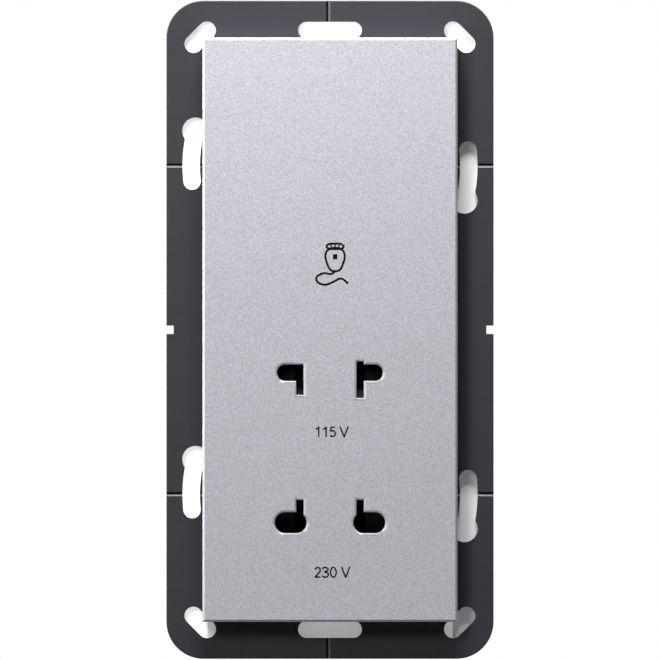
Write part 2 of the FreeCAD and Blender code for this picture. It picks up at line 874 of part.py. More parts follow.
def make_return_spring(name, side_x, foot):
    room = d.spring_wire_r + d.running_gap
    spine = doc.addObject("Part::Helix", "spring_line")
    spine.setExpression("Radius", d.spring_r.text)
    spine.setExpression("Height", (d.spring_long - room * 2).text)
    spine.setExpression("Pitch", ((d.spring_long - room * 2) / d.spring_turns).text)
    ring = doc.addObject("Part::RegularPolygon", "spring_section")
    ring.Polygon = 4
    ring.setExpression("Circumradius", d.spring_wire_r.text)
    ring.Placement = FreeCAD.Placement(FreeCAD.Vector(), FreeCAD.Rotation(FreeCAD.Vector(1, 0, 0), 90))
    ring.setExpression("Placement.Base.x", d.spring_r.text)
    coil = doc.addObject("Part::Sweep", name)
    coil.Sections = [ring]
    coil.Spine = (spine, [])
    coil.Solid = True
    coil.Frenet = True
    x = (d.slide_w * half + d.ear_w * half) * side_x
    y = (slide_front + slide_front + d.ear_deep) * half
    bind_place(coil, x, y, foot + room)
    return coil


# The sprung bridge on the back of the slide and the four studs that it joins in pairs
def make_switch_bridge():
    side = d.bridge_w * half
    tall = d.bridge_tall * half
    strip_y = (slide_back, slide_back + d.bridge_t)
    strip = block("strip", (-side, side), strip_y, (slide_mid - tall, slide_mid + tall))
    stud_front = switch_floor - d.part_gap
    dome_start = slide_back + d.bridge_t
    dome_tall = stud_front - dome_start - d.running_gap
    domes = [
        rod("dome", "y", (d.stud_x * side_x, dome_start, slide_mid), d.dome_r, dome_tall)
        for side_x in (-1, 1)
    ]
    return fuse("switch_bridge", strip, *domes)


def make_switch_contacts():
    studs = []
    start = switch_floor - d.part_gap
    end = board_back + d.pin_tip * 2
    for place in stud_places():
        head = square_pin("head", place, start, start + d.stud_head_t, d.stud_w)
        shank = square_pin("shank", place, start, end, d.stud_t)
        studs.append(fuse("stud", head, shank))
    return group("switch_contacts", studs)


# A strip bent along a path in X and Y, of one thickness, standing up in Z
def bent_strip(path, thickness, low, high):
    near, far = [], []
    for index, (x, y) in enumerate(path):
        before = path[max(index - 1, 0)]
        after = path[min(index + 1, len(path) - 1)]
        into = FreeCAD.Vector(x - before[0], y - before[1], 0)
        out = FreeCAD.Vector(after[0] - x, after[1] - y, 0)
        into = out if into.Length == 0 else into
        out = into if out.Length == 0 else out
        into.normalize()
        out.normalize()
        normal = FreeCAD.Vector(-into.y - out.y, into.x + out.x, 0).normalize()
        reach = thickness / 2 / normal.dot(FreeCAD.Vector(-into.y, into.x, 0))
        near.append(FreeCAD.Vector(x, y, low) + normal * reach)
        far.append(FreeCAD.Vector(x, y, low) - normal * reach)
    ring = near + far[::-1]
    face = Part.Face(Part.makePolygon(ring + ring[:1]))
    return face.extrude(FreeCAD.Vector(0, 0, high - low))


# One spring clip for a pin or blade: two bowed leaves joined at the back
def contact_clip(side_x, middle_z):
    thick = d.strip_t.value
    inner = d.chamber_in.value + thick
    outer = d.chamber_out.value - thick
    mouth = d.contact_mouth_y.value
    base = d.contact_base_y.value
    bow = d.contact_bow.value
    waist = mouth + (base - mouth) / 3
    knee = base - (base - mouth) / 3
    path = [
        (inner, mouth),
        (inner + bow, waist),
        (inner, knee),
        (inner, base),
        (outer, base),
        (outer, knee),
        (outer - bow, waist),
        (outer, mouth),
    ]
    path = [(x * side_x, y) for x, y in path]
    reach = d.contact_w.value / 2
    return bent_strip(path, thick, middle_z - reach, middle_z + reach)


# The solder tail of a contact, through the board
def contact_tail(side_x, middle_z):
    start = d.contact_base_y.value
    end = board_back.value + d.pin_tip.value * 2
    width = d.tail_w.value
    thick = d.strip_t.value
    left = contact_mid_x().value * side_x - width / 2
    corner = FreeCAD.Vector(left, start, middle_z - thick / 2)
    return Part.makeBox(width, end - start, thick, corner)


def make_contact(name, side_x, middles):
    shape = None
    for middle_z in middles:
        for piece in (contact_clip(side_x, middle_z), contact_tail(side_x, middle_z)):
            shape = piece if shape is None else shape.fuse(piece)
    if len(middles) > 1:
        low, high = sorted(middles)
        width = d.bar_w.value
        front = d.contact_base_y.value - d.strip_t.value / 2
        corner = FreeCAD.Vector(contact_mid_x().value * side_x - width / 2, front, low)
        shape = shape.fuse(Part.makeBox(width, d.strip_t.value, high - low, corner))
    contact = doc.addObject("Part::Feature", name)
    contact.Shape = shape.removeSplitter()
    contact.Placement = FreeCAD.Placement()
    return contact


def contact_middles():
    return outlet_115.value, outlet_230.value


def former_pin_places():
    x = d.core_w * half - d.core_leg + d.former_gap + d.rail_w * half - d.former_flange_t
    return [(x * side_x, d.core_z + d.pin_pitch * step) for side_x in (-1, 1) for step in (-1, 0, 1)]


def make_circuit_board():
    side = d.board_w * half
    plate = block("board_plate", (-side, side), (d.board_front, board_back), (-d.board_foot, d.board_top))
    cutters = [
        rod("screw_hole", "y", (x, d.board_front, z), d.board_screw_r + d.part_gap, d.board_t)
        for x, z in board_screw_places()
    ]
    pin_places = former_pin_places() + cutout_pin_places() + clamp_places() + stud_places()
    for place in pin_places:
        cutters.append(square_pin("pin_hole", place, d.board_front, board_back, d.pin_w + d.part_gap))
    board_y = (d.board_front, board_back)
    wide = d.tail_w * half + d.part_gap
    tall = d.strip_t * half + d.part_gap
    for side_x in (-1, 1):
        for middle in (outlet_115, outlet_230):
            x = contact_mid_x() * side_x
            cutters.append(block("tail_slot", around(x, wide), board_y, around(middle, tall)))
    return cut("circuit_board", plate, *cutters)


def make_board_screws():
    long = d.board_screw_long + d.board_t
    screws = [
        screw(place, board_back, d.small_head_r, d.small_head_t, d.board_screw_r, long, False)
        for place in board_screw_places()
    ]
    return group("board_screws", screws)


def cutout_pin_places():
    return [(d.cutout_w * side_x / 4, -d.cutout_drop) for side_x in (-1, 1)]


def make_thermal_cutout():
    side = d.cutout_w * half
    tall = d.cutout_tall * half
    middle = -d.cutout_drop
    case = slab(
        "cutout_case",
        rounded_rectangle(-side, side, middle - tall, middle + tall, d.cutout_corner_r),
        board_back + d.cutout_deep,
        board_back,
    )
    pins = [square_pin("pin", place, pin_front, board_back, d.pin_w) for place in cutout_pin_places()]
    return fuse("thermal_cutout", case, *pins)


def clamp_places():
    middle = d.terminal_tall * half - d.terminal_foot_drop
    return [(d.pole_x * side_x, middle) for side_x in (-1, 1)]


# The block that takes the house wiring: wires from below, screws from behind
def make_terminal_block():
    side = d.terminal_w * half
    foot = -d.terminal_foot_drop
    top = foot + d.terminal_tall
    body = block("terminal_body", (-side, side), (board_back, terminal_back), (foot, top))
    reach = d.clamp_size * half + d.running_gap
    well_r = d.terminal_screw_head_r + d.part_gap
    pin_w = d.pin_w + d.running_gap * 2
    cutters = []
    for x, z in clamp_places():
        cutters.append(block("clamp_room", around(x, reach), around(d.wire_y, reach), around(z, reach)))
        cutters.append(rod("wire_hole", "z", (x, d.wire_y, foot), d.wire_hole_r, z - foot))
        cutters.append(rod("screw_well", "y", (x, d.wire_y, z), well_r, terminal_back - d.wire_y))
        cutters.append(square_pin("pin_hole", (x, z), board_back, d.wire_y, pin_w))
    return cut("terminal_block", body, *cutters)


def make_terminal_clamps():
    clamps = []
    for x, z in clamp_places():
        reach = d.clamp_size * half
        inner = reach - d.clamp_wall
        cage = block("cage", around(x, reach), around(d.wire_y, reach), around(z, reach))
        way = block("wire_way", around(x, inner), around(d.wire_y, inner), around(z, reach))
        thread = rod("thread", "y", (x, d.wire_y, z), d.terminal_screw_r + d.running_gap, d.clamp_size)
        pin = square_pin("pin", (x, z), pin_front, d.wire_y - inner, d.pin_w)
        clamps.append(fuse("clamp", cut("cage_open", cage, way, thread), pin))
    return group("terminal_clamps", clamps)


def make_terminal_screws():
    seat = d.wire_y + d.clamp_size * half + d.part_gap
    bite = d.clamp_wall + d.part_gap * 2
    head_r = d.terminal_screw_head_r
    back = seat + d.terminal_screw_head_t
    screws = []
    for x, z in clamp_places():
        blank = screw((x, z), seat, head_r, d.terminal_screw_head_t, d.terminal_screw_r, bite, False)
        reach = d.drive_slot_w * half
        slot_y = (back - d.drive_slot_deep, back)
        drive = block("drive_slot", around(x, head_r), slot_y, around(z, reach))
        screws.append(cut("terminal_screw", blank, drive))
    return group("terminal_screws", screws)


# The transformer lies with its coil along X: the E stack on the left, the I stack closing it on the right
def core_bores():
    return [
        rod("core_bore", "y", (x, core_front, z + d.core_z), d.core_hole_r, d.core_stack)
        for x, z in corners(d.core_hole_x, d.core_hole_z)
    ]


def make_e_laminations():
    side = d.core_w * half
    tall = d.core_tall * half
    leg = d.core_leg
    low = d.core_z - tall
    high = d.core_z + tall
    outline = [
        (-side, low),
        (side - leg, low),
        (side - leg, low + leg),
        (leg - side, low + leg),
        (leg - side, low + leg * 2),
        (side - leg, low + leg * 2),
        (side - leg, high - leg * 2),
        (leg - side, high - leg * 2),
        (leg - side, high - leg),
        (side - leg, high - leg),
        (side - leg, high),
        (-side, high),
    ]
    return cut("e_laminations", slab("e_stack", (outline, {}), core_back, core_front), *core_bores())


def make_i_laminations():
    side = d.core_w * half
    tall = d.core_tall * half
    bar = block(
        "i_stack",
        (side - d.core_leg, side),
        (core_front, core_back),
        (d.core_z - tall, d.core_z + tall),
    )
    return cut("i_laminations", bar, *core_bores())


def make_core_screws():
    screws = []
    for x, z in corners(d.core_hole_x, d.core_hole_z):
        head = doc.addObject("Part::Prism", "hexagon_head")
        head.Polygon = 6
        head.Placement = FreeCAD.Placement(FreeCAD.Vector(), turns["y"])
        head.setExpression("Circumradius", d.core_screw_head_r.text)
        head.setExpression("Height", d.core_screw_head_t.text)
        bind_place(head, x, core_front - d.core_screw_head_t, z + d.core_z)
        long = d.core_stack + d.core_screw_bite
        shank = rod("shank", "y", (x, core_front, z + d.core_z), d.core_screw_r, long)
        screws.append(fuse("core_screw", head, shank))
    return group("core_screws", screws)


def coil_ends():
    end = d.core_w * half - d.core_leg - d.former_gap
    return -end, end


def around_core(x, reach_y, reach_z, name):
    return block(
        name,
        x,
        (d.core_mid_y - reach_y, d.core_mid_y + reach_y),
        (d.core_z - reach_z, d.core_z + reach_z),
    )


def tube_reach():
    leg_y = d.core_stack * half + d.former_gap
    leg_z = d.core_leg + d.former_gap
    return leg_y, leg_z


def make_coil_former():
    left, right = coil_ends()
    leg_y, leg_z = tube_reach()
    tube = around_core((left, right), leg_y + d.former_wall, leg_z + d.former_wall, "former_tube")
    flanges = []
    for start in (left, -d.former_flange_t * half, right - d.former_flange_t):
        flange_x = (start, start + d.former_flange_t)
        flanges.append(around_core(flange_x, d.former_flange_y, d.former_flange_z, "former_flange"))
    rails = []
    rail_front = d.core_mid_y - d.former_flange_y
    for start in (left + d.former_flange_t - d.rail_w, right - d.former_flange_t):
        rails.append(
            block(
                "pin_rail",
                (start, start + d.rail_w),
                (rail_front, rail_front + d.rail_deep),
                (d.core_z - d.former_flange_z, d.core_z + d.former_flange_z),
            )
        )
    core_way = around_core((left, right), leg_y, leg_z, "core_way")
    bore_end = rail_front + d.rail_deep * half
    bores = [
        square_pin("pin_bore", place, rail_front, bore_end, d.pin_w + d.running_gap * 2)
        for place in former_pin_places()
    ]
    return cut("coil_former", fuse("former_blank", tube, *flanges, *rails), core_way, *bores)


def make_winding(name, left, right):
    leg_y, leg_z = tube_reach()
    outline = rounded_rectangle(
        d.core_mid_y - d.winding_y,
        d.core_mid_y + d.winding_y,
        d.core_z - d.winding_z,
        d.core_z + d.winding_z,
        d.winding_r,
    )
    solid = beam("winding_blank", outline, left, right)
    inner = around_core((left, right), leg_y + d.former_wall, leg_z + d.former_wall, "winding_way")
    return cut(name, solid, inner)


def make_former_pins():
    rail_front = d.core_mid_y - d.former_flange_y
    end = rail_front + d.rail_deep * half
    pins = [square_pin("pin", place, pin_front, end, d.pin_w) for place in former_pin_places()]
    return group("former_pins", pins)


# The stepped box behind the frame: deep round the transformer, shallow round the terminals
def make_rear_housing():
    side = d.housing_w * half
    top = d.housing_tall * half
    step = -d.housing_step_drop
    wall = d.housing_wall
    flange_x = d.flange_w * half
    flange_z = d.flange_tall * half
    start = d.flange_t
    flange = slab(
        "housing_flange",
        rounded_rectangle(-flange_x, flange_x, -flange_z, flange_z, d.flange_corner_r),
        start + d.housing_flange_t,
        start,
    )
    deep_outline = rounded_rectangle(-side, side, step, top, d.housing_corner_r)
    deep = slab("deep_box", deep_outline, d.housing_deep, start)
    low = slab(
        "low_box",
        rounded_rectangle(-side, side, -top, step + d.housing_corner_r, d.housing_corner_r),
        d.housing_step_deep,
        start,
    )
    boss_end = start + d.boss_long
    bosses = [
        square_pin("boss", place, start, boss_end, d.boss_w)
        for place in corners(d.screw_x, screw_z)
    ]
    inner_x = (wall - side, side - wall)
    deep_room = block("deep_room", inner_x, (start, housing_inner), (step + wall, top - wall))
    low_room = block("low_room", inner_x, (start, housing_step_inner), (wall - top, step + wall + wall))
    shell = cut("housing_shell", fuse("housing_blank", flange, deep, low, *bosses), deep_room, low_room)
    pads = [
        square_pin("core_pad", (x, z + d.core_z), core_back, d.housing_deep, d.core_pad_w)
        for x, z in corners(d.core_hole_x, d.core_hole_z)
    ]
    boss_bore = d.screw_long - d.frame_t - d.flange_t + d.part_gap
    bores = [
        rod("boss_bore", "y", (x, start, z), d.screw_r + d.running_gap, boss_bore)
        for x, z in corners(d.screw_x, screw_z)
    ]
    bite = d.core_screw_bite + d.part_gap
    bores += [
        rod("pad_bore", "y", (x, core_back, z + d.core_z), d.core_screw_r + d.running_gap, bite)
        for x, z in corners(d.core_hole_x, d.core_hole_z)
    ]
    access_x = d.access_w * half
    access = block(
        "screw_access",
        (-access_x, access_x),
        (housing_step_inner, d.housing_step_deep),
        (-d.access_drop - d.access_tall * half, d.access_tall * half - d.access_drop),
    )
    entry = block("wire_entry", (-access_x, access_x), (d.entry_front, d.entry_back), (-top, wall - top))
    return cut("rear_housing", fuse("housing_pads", shell, *pads), *bores, access, entry)


def make_assembly_screws():
    screws = [
        screw(place, -d.frame_t, d.screw_head_r, d.screw_head_t, d.screw_r, d.screw_long, True)
        for place in corners(d.screw_x, screw_z)
    ]
    return group("assembly_screws", screws)


coil_left, coil_right = coil_ends()
middle_flange = d.former_flange_t * half
middle_115, middle_230 = contact_middles()
nodes = [
    make_support_frame(),
    make_cover(),
    make_contact_carrier(),
    make_shutter_slide(),
    make_return_spring("left_return_spring", -1, ear_foot - d.spring_long),
    make_return_spring("right_return_spring", 1, ear_top),
    make_switch_bridge(),
    make_switch_contacts(),
    make_contact("common_contact_strip", -1, (middle_115, middle_230)),
    make_contact("contact_115", 1, (middle_115,)),
    make_contact("contact_230", 1, (middle_230,)),
    make_circuit_board(),
    make_board_screws(),
    make_thermal_cutout(),
    make_terminal_block(),
    make_terminal_clamps(),
    make_terminal_screws(),
    make_e_laminations(),
    make_i_laminations(),
    make_core_screws(),
    make_coil_former(),
    make_winding("primary_winding", coil_left + d.former_flange_t, -middle_flange),
    make_winding("secondary_winding", middle_flange, coil_right - d.former_flange_t),
    make_former_pins(),
    make_rear_housing(),
    make_assembly_screws(),
]
doc.recompute()

for item in doc.Objects:
    if "Invalid" in item.State or "Error" in item.State:
        raise RuntimeError(f"{item.Label} failed to compute")
for node in nodes:
    if node.Shape.isNull() or not node.Shape.isValid():
        raise RuntimeError(f"{node.Label} has no valid shape")

os.makedirs("parts", exist_ok=True)
for node in nodes:
    node.Shape.exportStep(f"parts/{node.Label}.step")
    print(node.Label, len(node.Shape.Solids), round(node.Shape.Volume, 1))
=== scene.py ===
import json
import math

import bpy
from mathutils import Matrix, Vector


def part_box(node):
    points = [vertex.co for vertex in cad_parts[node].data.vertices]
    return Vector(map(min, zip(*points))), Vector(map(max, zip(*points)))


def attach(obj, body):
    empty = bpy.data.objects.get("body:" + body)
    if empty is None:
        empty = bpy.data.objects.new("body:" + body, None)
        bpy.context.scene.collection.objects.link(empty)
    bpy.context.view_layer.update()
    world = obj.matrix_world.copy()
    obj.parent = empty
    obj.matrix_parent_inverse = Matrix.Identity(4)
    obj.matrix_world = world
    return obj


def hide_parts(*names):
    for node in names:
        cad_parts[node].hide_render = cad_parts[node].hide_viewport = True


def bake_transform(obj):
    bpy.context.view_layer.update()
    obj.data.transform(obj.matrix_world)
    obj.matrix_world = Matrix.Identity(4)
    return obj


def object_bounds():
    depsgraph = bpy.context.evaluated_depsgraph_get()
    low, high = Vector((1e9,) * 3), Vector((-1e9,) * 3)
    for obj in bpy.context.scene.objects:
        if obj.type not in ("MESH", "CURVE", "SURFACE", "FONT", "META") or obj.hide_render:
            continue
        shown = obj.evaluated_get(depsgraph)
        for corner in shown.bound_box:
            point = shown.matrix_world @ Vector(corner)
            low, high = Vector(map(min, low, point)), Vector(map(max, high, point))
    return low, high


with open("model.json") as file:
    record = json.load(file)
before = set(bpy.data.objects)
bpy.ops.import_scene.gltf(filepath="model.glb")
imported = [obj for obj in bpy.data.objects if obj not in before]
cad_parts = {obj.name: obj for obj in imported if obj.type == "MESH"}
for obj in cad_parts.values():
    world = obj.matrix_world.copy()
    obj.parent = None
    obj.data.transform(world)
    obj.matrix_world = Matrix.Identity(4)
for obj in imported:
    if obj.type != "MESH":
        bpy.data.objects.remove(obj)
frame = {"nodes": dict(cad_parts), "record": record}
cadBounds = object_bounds()
cadNodes = frame["nodes"]
mm = 0.001
near = 0.01  # points within this many millimetres of a level count as lying on it
straight = 0.99  # a face whose normal reaches this along an axis counts as square to it
roundSides = 64  # sides of a round cutter
print("frame loaded with", len(cadNodes), "nodes")


# Picking and shaping helpers, with sizes in millimetres
def clearPick():
    if bpy.context.mode != "OBJECT":
        bpy.ops.object.mode_set(mode="OBJECT")
    bpy.ops.object.select_all(action="DESELECT")


def pick(*pieces):
    clearPick()
    for piece in pieces:
        piece.select_set(True)
    bpy.context.view_layer.objects.active = pieces[0]


def settle(piece):
    pick(piece)
    bpy.ops.object.transform_apply(location=True, rotation=True, scale=True)
    return piece


def addBlock(low, high):
    low = Vector(low) * mm
    high = Vector(high) * mm
    clearPick()
    bpy.ops.mesh.primitive_cube_add(size=1, location=(low + high) / 2)
    block = bpy.context.object
    block.scale = high - low
    return settle(block)


def addRod(x, z, front, back, radius):
    clearPick()
    bpy.ops.mesh.primitive_cylinder_add(
        vertices=roundSides,
        radius=radius * mm,
        depth=(back - front) * mm,
        location=Vector((x, (front + back) / 2, z)) * mm,
        rotation=(math.radians(90), 0, 0),
    )
    return settle(bpy.context.object)


# A level or slanted slot with round ends, from one end's centre to the other's
def addSlot(start, end, radius, front, back):
    middle = (Vector(start) + Vector(end)) / 2
    run = Vector(end) - Vector(start)
    bar = addBlock((-run.length / 2, front, -radius), (run.length / 2, back, radius))
    bar.rotation_euler[1] = -math.atan2(run.y, run.x)
    bar.location = Vector((middle.x, 0, middle.y)) * mm
    settle(bar)
    ends = [addRod(x, z, front, back, radius) for x, z in (start, end)]
    return [bar, *ends]


def cutAway(piece, cutters):
    for cutter in cutters:
        change = piece.modifiers.new("cut", "BOOLEAN")
        change.operation = "DIFFERENCE"
        change.solver = "EXACT"
        change.object = cutter
        pick(piece)
        bpy.ops.object.modifier_apply(modifier=change.name)
        bpy.data.objects.remove(cutter)


def startPicking(piece, kind):
    pick(piece)
    bpy.ops.object.mode_set(mode="EDIT")
    bpy.ops.mesh.select_mode(type=kind)
    bpy.ops.mesh.select_all(action="DESELECT")
    bpy.ops.object.mode_set(mode="OBJECT")


def pickEdges(piece, wanted):
    startPicking(piece, "EDGE")
    points = piece.data.vertices
    for edge in piece.data.edges:
        edge.select = wanted(points[edge.vertices[0]].co / mm, points[edge.vertices[1]].co / mm)
    bpy.ops.object.mode_set(mode="EDIT")


def pickFaces(piece, wanted):
    startPicking(piece, "FACE")
    for face in piece.data.polygons:
        face.select = wanted(face.center / mm, face.normal)
    bpy.ops.object.mode_set(mode="EDIT")


def bevelEdges(piece, wanted, width, segments):
    pickEdges(piece, wanted)
    bpy.ops.mesh.bevel(offset=width * mm, segments=segments, profile=0.5, affect="EDGES")
    bpy.ops.object.mode_set(mode="OBJECT")


# The sharpness, in degrees, at which an edge is softened and at which it stays crisp
edgeSettings = {"segments": 2, "softenFrom": 40, "crispFrom": 32}


def softenEdges(piece, width):
    if width:
        bevel = piece.modifiers.new("soft edges", "BEVEL")
        bevel.width = width * mm
        bevel.segments = edgeSettings["segments"]
        bevel.limit_method = "ANGLE"
        bevel.angle_limit = math.radians(edgeSettings["softenFrom"])
        bevel.use_clamp_overlap = True
        pick(piece)
        bpy.ops.object.modifier_apply(modifier=bevel.name)
    pick(piece)
    bpy.ops.object.shade_smooth_by_angle(angle=math.radians(edgeSettings["crispFrom"]))
    weighted = piece.modifiers.new("even faces", "WEIGHTED_NORMAL")
    weighted.keep_sharp = True
    bpy.ops.object.modifier_apply(modifier=weighted.name)


def finishPiece(piece, name, body, material, stoodFor=()):
    piece.name = name
    piece.data.name = name
    piece.data.materials.clear()
    piece.data.materials.append(material)
    if body:
        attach(piece, body)
    if stoodFor:
        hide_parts(*stoodFor)
    print("piece", name, "with", len(piece.data.polygons), "faces")
    return piece


def boxInMm(nodeName):
    low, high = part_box(nodeName)
    return low / mm, high / mm


# Shader groups shared by several finishes
def newGroup(name, inputs, outputs):
    group = bpy.data.node_groups.new(name, "ShaderNodeTree")
    for label, value in inputs:
        socket = group.interface.new_socket(label, in_out="INPUT", socket_type="NodeSocketFloat")
        socket.default_value = value
    for label in outputs:
        group.interface.new_socket(label, in_out="OUTPUT", socket_type="NodeSocketFloat")
    return group, group.nodes.new("NodeGroupInput"), group.nodes.new("NodeGroupOutput")


def addNode(tree, kind, **values):
    node = tree.nodes.new(kind)
    for name, value in values.items():
        setattr(node, name, value)
    return node


def mathNode(tree, operation, first, second=None):
    node = addNode(tree, "ShaderNodeMath", operation=operation)
    for index, source in enumerate((first, second)):
        if source is None:
            continue
        if isinstance(source, (int, float)):
            node.inputs[index].default_value = source
        else:
            tree.links.new(source, node.inputs[index])
    return node.outputs[0]


grainSettings = {"detail": 2, "roughness": 0.65, "swing": 4.0}


# Fine grains: a shade round 1 that is a little lighter and darker from grain to grain
def buildGrainGroup(settings):
    group, given, made = newGroup(
        "fineGrain",
        [("Grains per mm", 4.0), ("Contrast", 0.1), ("Stretch X", 1.0)],
        ["Shade", "Height"],
    )
    place = addNode(group, "ShaderNodeTexCoord")
    spread = addNode(group, "ShaderNodeCombineXYZ")
    squeeze = mathNode(group, "DIVIDE", 1.0, given.outputs["Stretch X"])
    group.links.new(squeeze, spread.inputs["X"])
    spread.inputs["Y"].default_value = 1
    spread.inputs["Z"].default_value = 1
    stretched = addNode(group, "ShaderNodeVectorMath", operation="MULTIPLY")
    group.links.new(place.outputs["Object"], stretched.inputs[0])
    group.links.new(spread.outputs["Vector"], stretched.inputs[1])
    grains = addNode(group, "ShaderNodeTexNoise", noise_dimensions="3D")
    grains.inputs["Detail"].default_value = settings["detail"]
    grains.inputs["Roughness"].default_value = settings["roughness"]
    group.links.new(stretched.outputs["Vector"], grains.inputs["Vector"])
    perMetre = mathNode(group, "MULTIPLY", given.outputs["Grains per mm"], 1 / mm)
    group.links.new(perMetre, grains.inputs["Scale"])
    centred = mathNode(group, "SUBTRACT", grains.outputs["Fac"], 0.5)
    mild = mathNode(group, "MULTIPLY", centred, given.outputs["Contrast"])
    strong = mathNode(group, "MULTIPLY", mild, settings["swing"])
    group.links.new(mathNode(group, "ADD", strong, 1.0), made.inputs["Shade"])
    group.links.new(grains.outputs["Fac"], made.inputs["Height"])
    return group


grainGroup = buildGrainGroup(grainSettings)

# What a finish has where its own settings say nothing else
plainFinish = {
    "metallic": 0,
    "specular": 0.5,
    "coat": 0,
    "coatRoughness": 0.1,
    "grainsPerMm": 3,
    "contrast": 0.1,
    "stretchX": 1,
    "bump": 0.1,
    "bumpHeight": 0.01,
}


# A finish: a plain base colour, shaded by grains, with a fine bump
def makeFinish(name, ownSettings):
    settings = {**plainFinish, **ownSettings}
    material = bpy.data.materials.new(name)
    material.use_nodes = True
    tree = material.node_tree
    shader = tree.nodes["Principled BSDF"]
    shader.inputs["Metallic"].default_value = settings["metallic"]
    shader.inputs["Roughness"].default_value = settings["roughness"]
    shader.inputs["Specular IOR Level"].default_value = settings["specular"]
    shader.inputs["Coat Weight"].default_value = settings["coat"]
    shader.inputs["Coat Roughness"].default_value = settings["coatRoughness"]
    grain = addNode(tree, "ShaderNodeGroup", node_tree=grainGroup)
    grain.inputs["Grains per mm"].default_value = settings["grainsPerMm"]
    grain.inputs["Contrast"].default_value = settings["contrast"]
    grain.inputs["Stretch X"].default_value = settings["stretchX"]
    tint = addNode(tree, "ShaderNodeVectorMath", operation="SCALE")
    tint.inputs[0].default_value = settings["colour"]
    tree.links.new(grain.outputs["Shade"], tint.inputs["Scale"])
    tree.links.new(tint.outputs["Vector"], shader.inputs["Base Color"])
    bump = addNode(tree, "ShaderNodeBump")
    bump.inputs["Strength"].default_value = settings["bump"]
    bump.inputs["Distance"].default_value = settings["bumpHeight"] * mm
    tree.links.new(grain.outputs["Height"], bump.inputs["Height"])
    tree.links.new(bump.outputs["Normal"], shader.inputs["Normal"])
    return material


# Adds even ridges along one axis to a finish, as on stacked sheets or wound wire, and darkens the
# colour in the grooves between them as painted shade
def addRidges(material, settings):
    tree = material.node_tree
    shader = tree.nodes["Principled BSDF"]
    place = addNode(tree, "ShaderNodeTexCoord")
    parts = addNode(tree, "ShaderNodeSeparateXYZ")
    tree.links.new(place.outputs["Object"], parts.inputs["Vector"])
    turns = mathNode(tree, "MULTIPLY", parts.outputs[settings["axis"]], math.pi / (settings["pitch"] * mm))
    wave = mathNode(tree, "ABSOLUTE", mathNode(tree, "SINE", turns))
    bump = next(node for node in tree.nodes if node.type == "BUMP")
    bump.inputs["Strength"].default_value = 1
    bump.inputs["Distance"].default_value = settings["depth"] * mm
    tree.links.new(wave, bump.inputs["Height"])
    # Painted shade: the colour darkens towards the bottom of each groove
    lift = mathNode(tree, "MULTIPLY", wave, 1 - settings["grooveShade"])
    shade = mathNode(tree, "ADD", lift, settings["grooveShade"])
    tint = shader.inputs["Base Color"].links[0].from_node
    grain = tint.inputs["Scale"].links[0].from_socket
    tree.links.new(mathNode(tree, "MULTIPLY", grain, shade), tint.inputs["Scale"])


finishSettings = {
    "frame_metal": {
        "colour": (0.0345, 0.0345, 0.0425),
        "roughness": 0.45,
        "specular": 0.3,
        "metallic": 0.1,
        "grainsPerMm": 1.6,
        "contrast": 0.06,
        "stretchX": 14,
        "bump": 0.12,
    },
    # Painted highlight for the groove walls that face the lamps
    "painted_groove_highlight": {"colour": (0.17, 0.17, 0.18), "roughness": 0.5, "metallic": 0.3, "contrast": 0.05},
    # Painted highlight and painted shade for the cover's hole rims
    "painted_rim_highlight": {"colour": (0.6, 0.59, 0.62), "roughness": 0.4, "metallic": 0.1, "contrast": 0.04},
    "painted_rim_shade": {"colour": (0.33, 0.325, 0.345), "roughness": 0.45, "metallic": 0.1, "contrast": 0.04},
    # Near-black painted shade for the groove walls that face away from the lamps
    "groove_shade": {"colour": (0.002, 0.002, 0.002), "roughness": 0.8, "specular": 0.1, "contrast": 0.05},
    "silver_plastic": {
        "colour": (0.57, 0.56, 0.61),
        "roughness": 0.42,
        "metallic": 0.45,
        "grainsPerMm": 3.4,
        "contrast": 0.27,
        "bump": 0.35,
        "bumpHeight": 0.03,
    },
    # Black plastic darkened as painted shade, for pieces seen through the holes
    "painted_shade_black": {"colour": (0.009, 0.009, 0.011), "roughness": 0.6, "specular": 0.2, "grainsPerMm": 2.5},
    "black_plastic": {
        "colour": (0.02, 0.02, 0.022),
        "roughness": 0.48,
        "specular": 0.4,
        "grainsPerMm": 2.5,
        "contrast": 0.15,
    },
    "black_print": {"colour": (0.004, 0.004, 0.006), "roughness": 0.8, "specular": 0.1},
    "grey_plastic": {"colour": (0.33, 0.33, 0.34), "roughness": 0.5, "grainsPerMm": 2.5, "contrast": 0.04},
    "spring_steel": {
        "colour": (0.6, 0.6, 0.61),
        "roughness": 0.28,
        "metallic": 1,
        "grainsPerMm": 6,
        "contrast": 0.05,
    },
    "zinc_steel": {"colour": (0.62, 0.62, 0.63), "roughness": 0.34, "metallic": 1, "contrast": 0.08},
    "brass": {"colour": (0.5, 0.35, 0.15), "roughness": 0.34, "metallic": 1, "contrast": 0.06},
    # Brass darkened as painted shade, for contacts seen through the holes
    "painted_shade_brass": {"colour": (0.05, 0.036, 0.018), "roughness": 0.6, "metallic": 0.6},
    "board": {
        "colour": (0.03, 0.16, 0.06),
        "roughness": 0.35,
        "grainsPerMm": 2,
        "contrast": 0.12,
        "coat": 0.4,
    },
    "core_steel": {"colour": (0.15, 0.15, 0.16), "roughness": 0.45, "metallic": 0.7, "grainsPerMm": 2},
    "former_plastic": {"colour": (0.75, 0.71, 0.6), "roughness": 0.45, "grainsPerMm": 1.5, "contrast": 0.03},
    "winding": {"colour": (0.46, 0.16, 0.05), "roughness": 0.3, "grainsPerMm": 1.5, "coat": 0.6},
}
ridgeSettings = {
    "core_steel": {"axis": "Y", "pitch": 0.5, "depth": 0.06, "grooveShade": 0.6},
    "winding": {"axis": "X", "pitch": 0.42, "depth": 0.12, "grooveShade": 0.55},
}
finishes = {slotName: makeFinish(slotName, settings) for slotName, settings in finishSettings.items()}
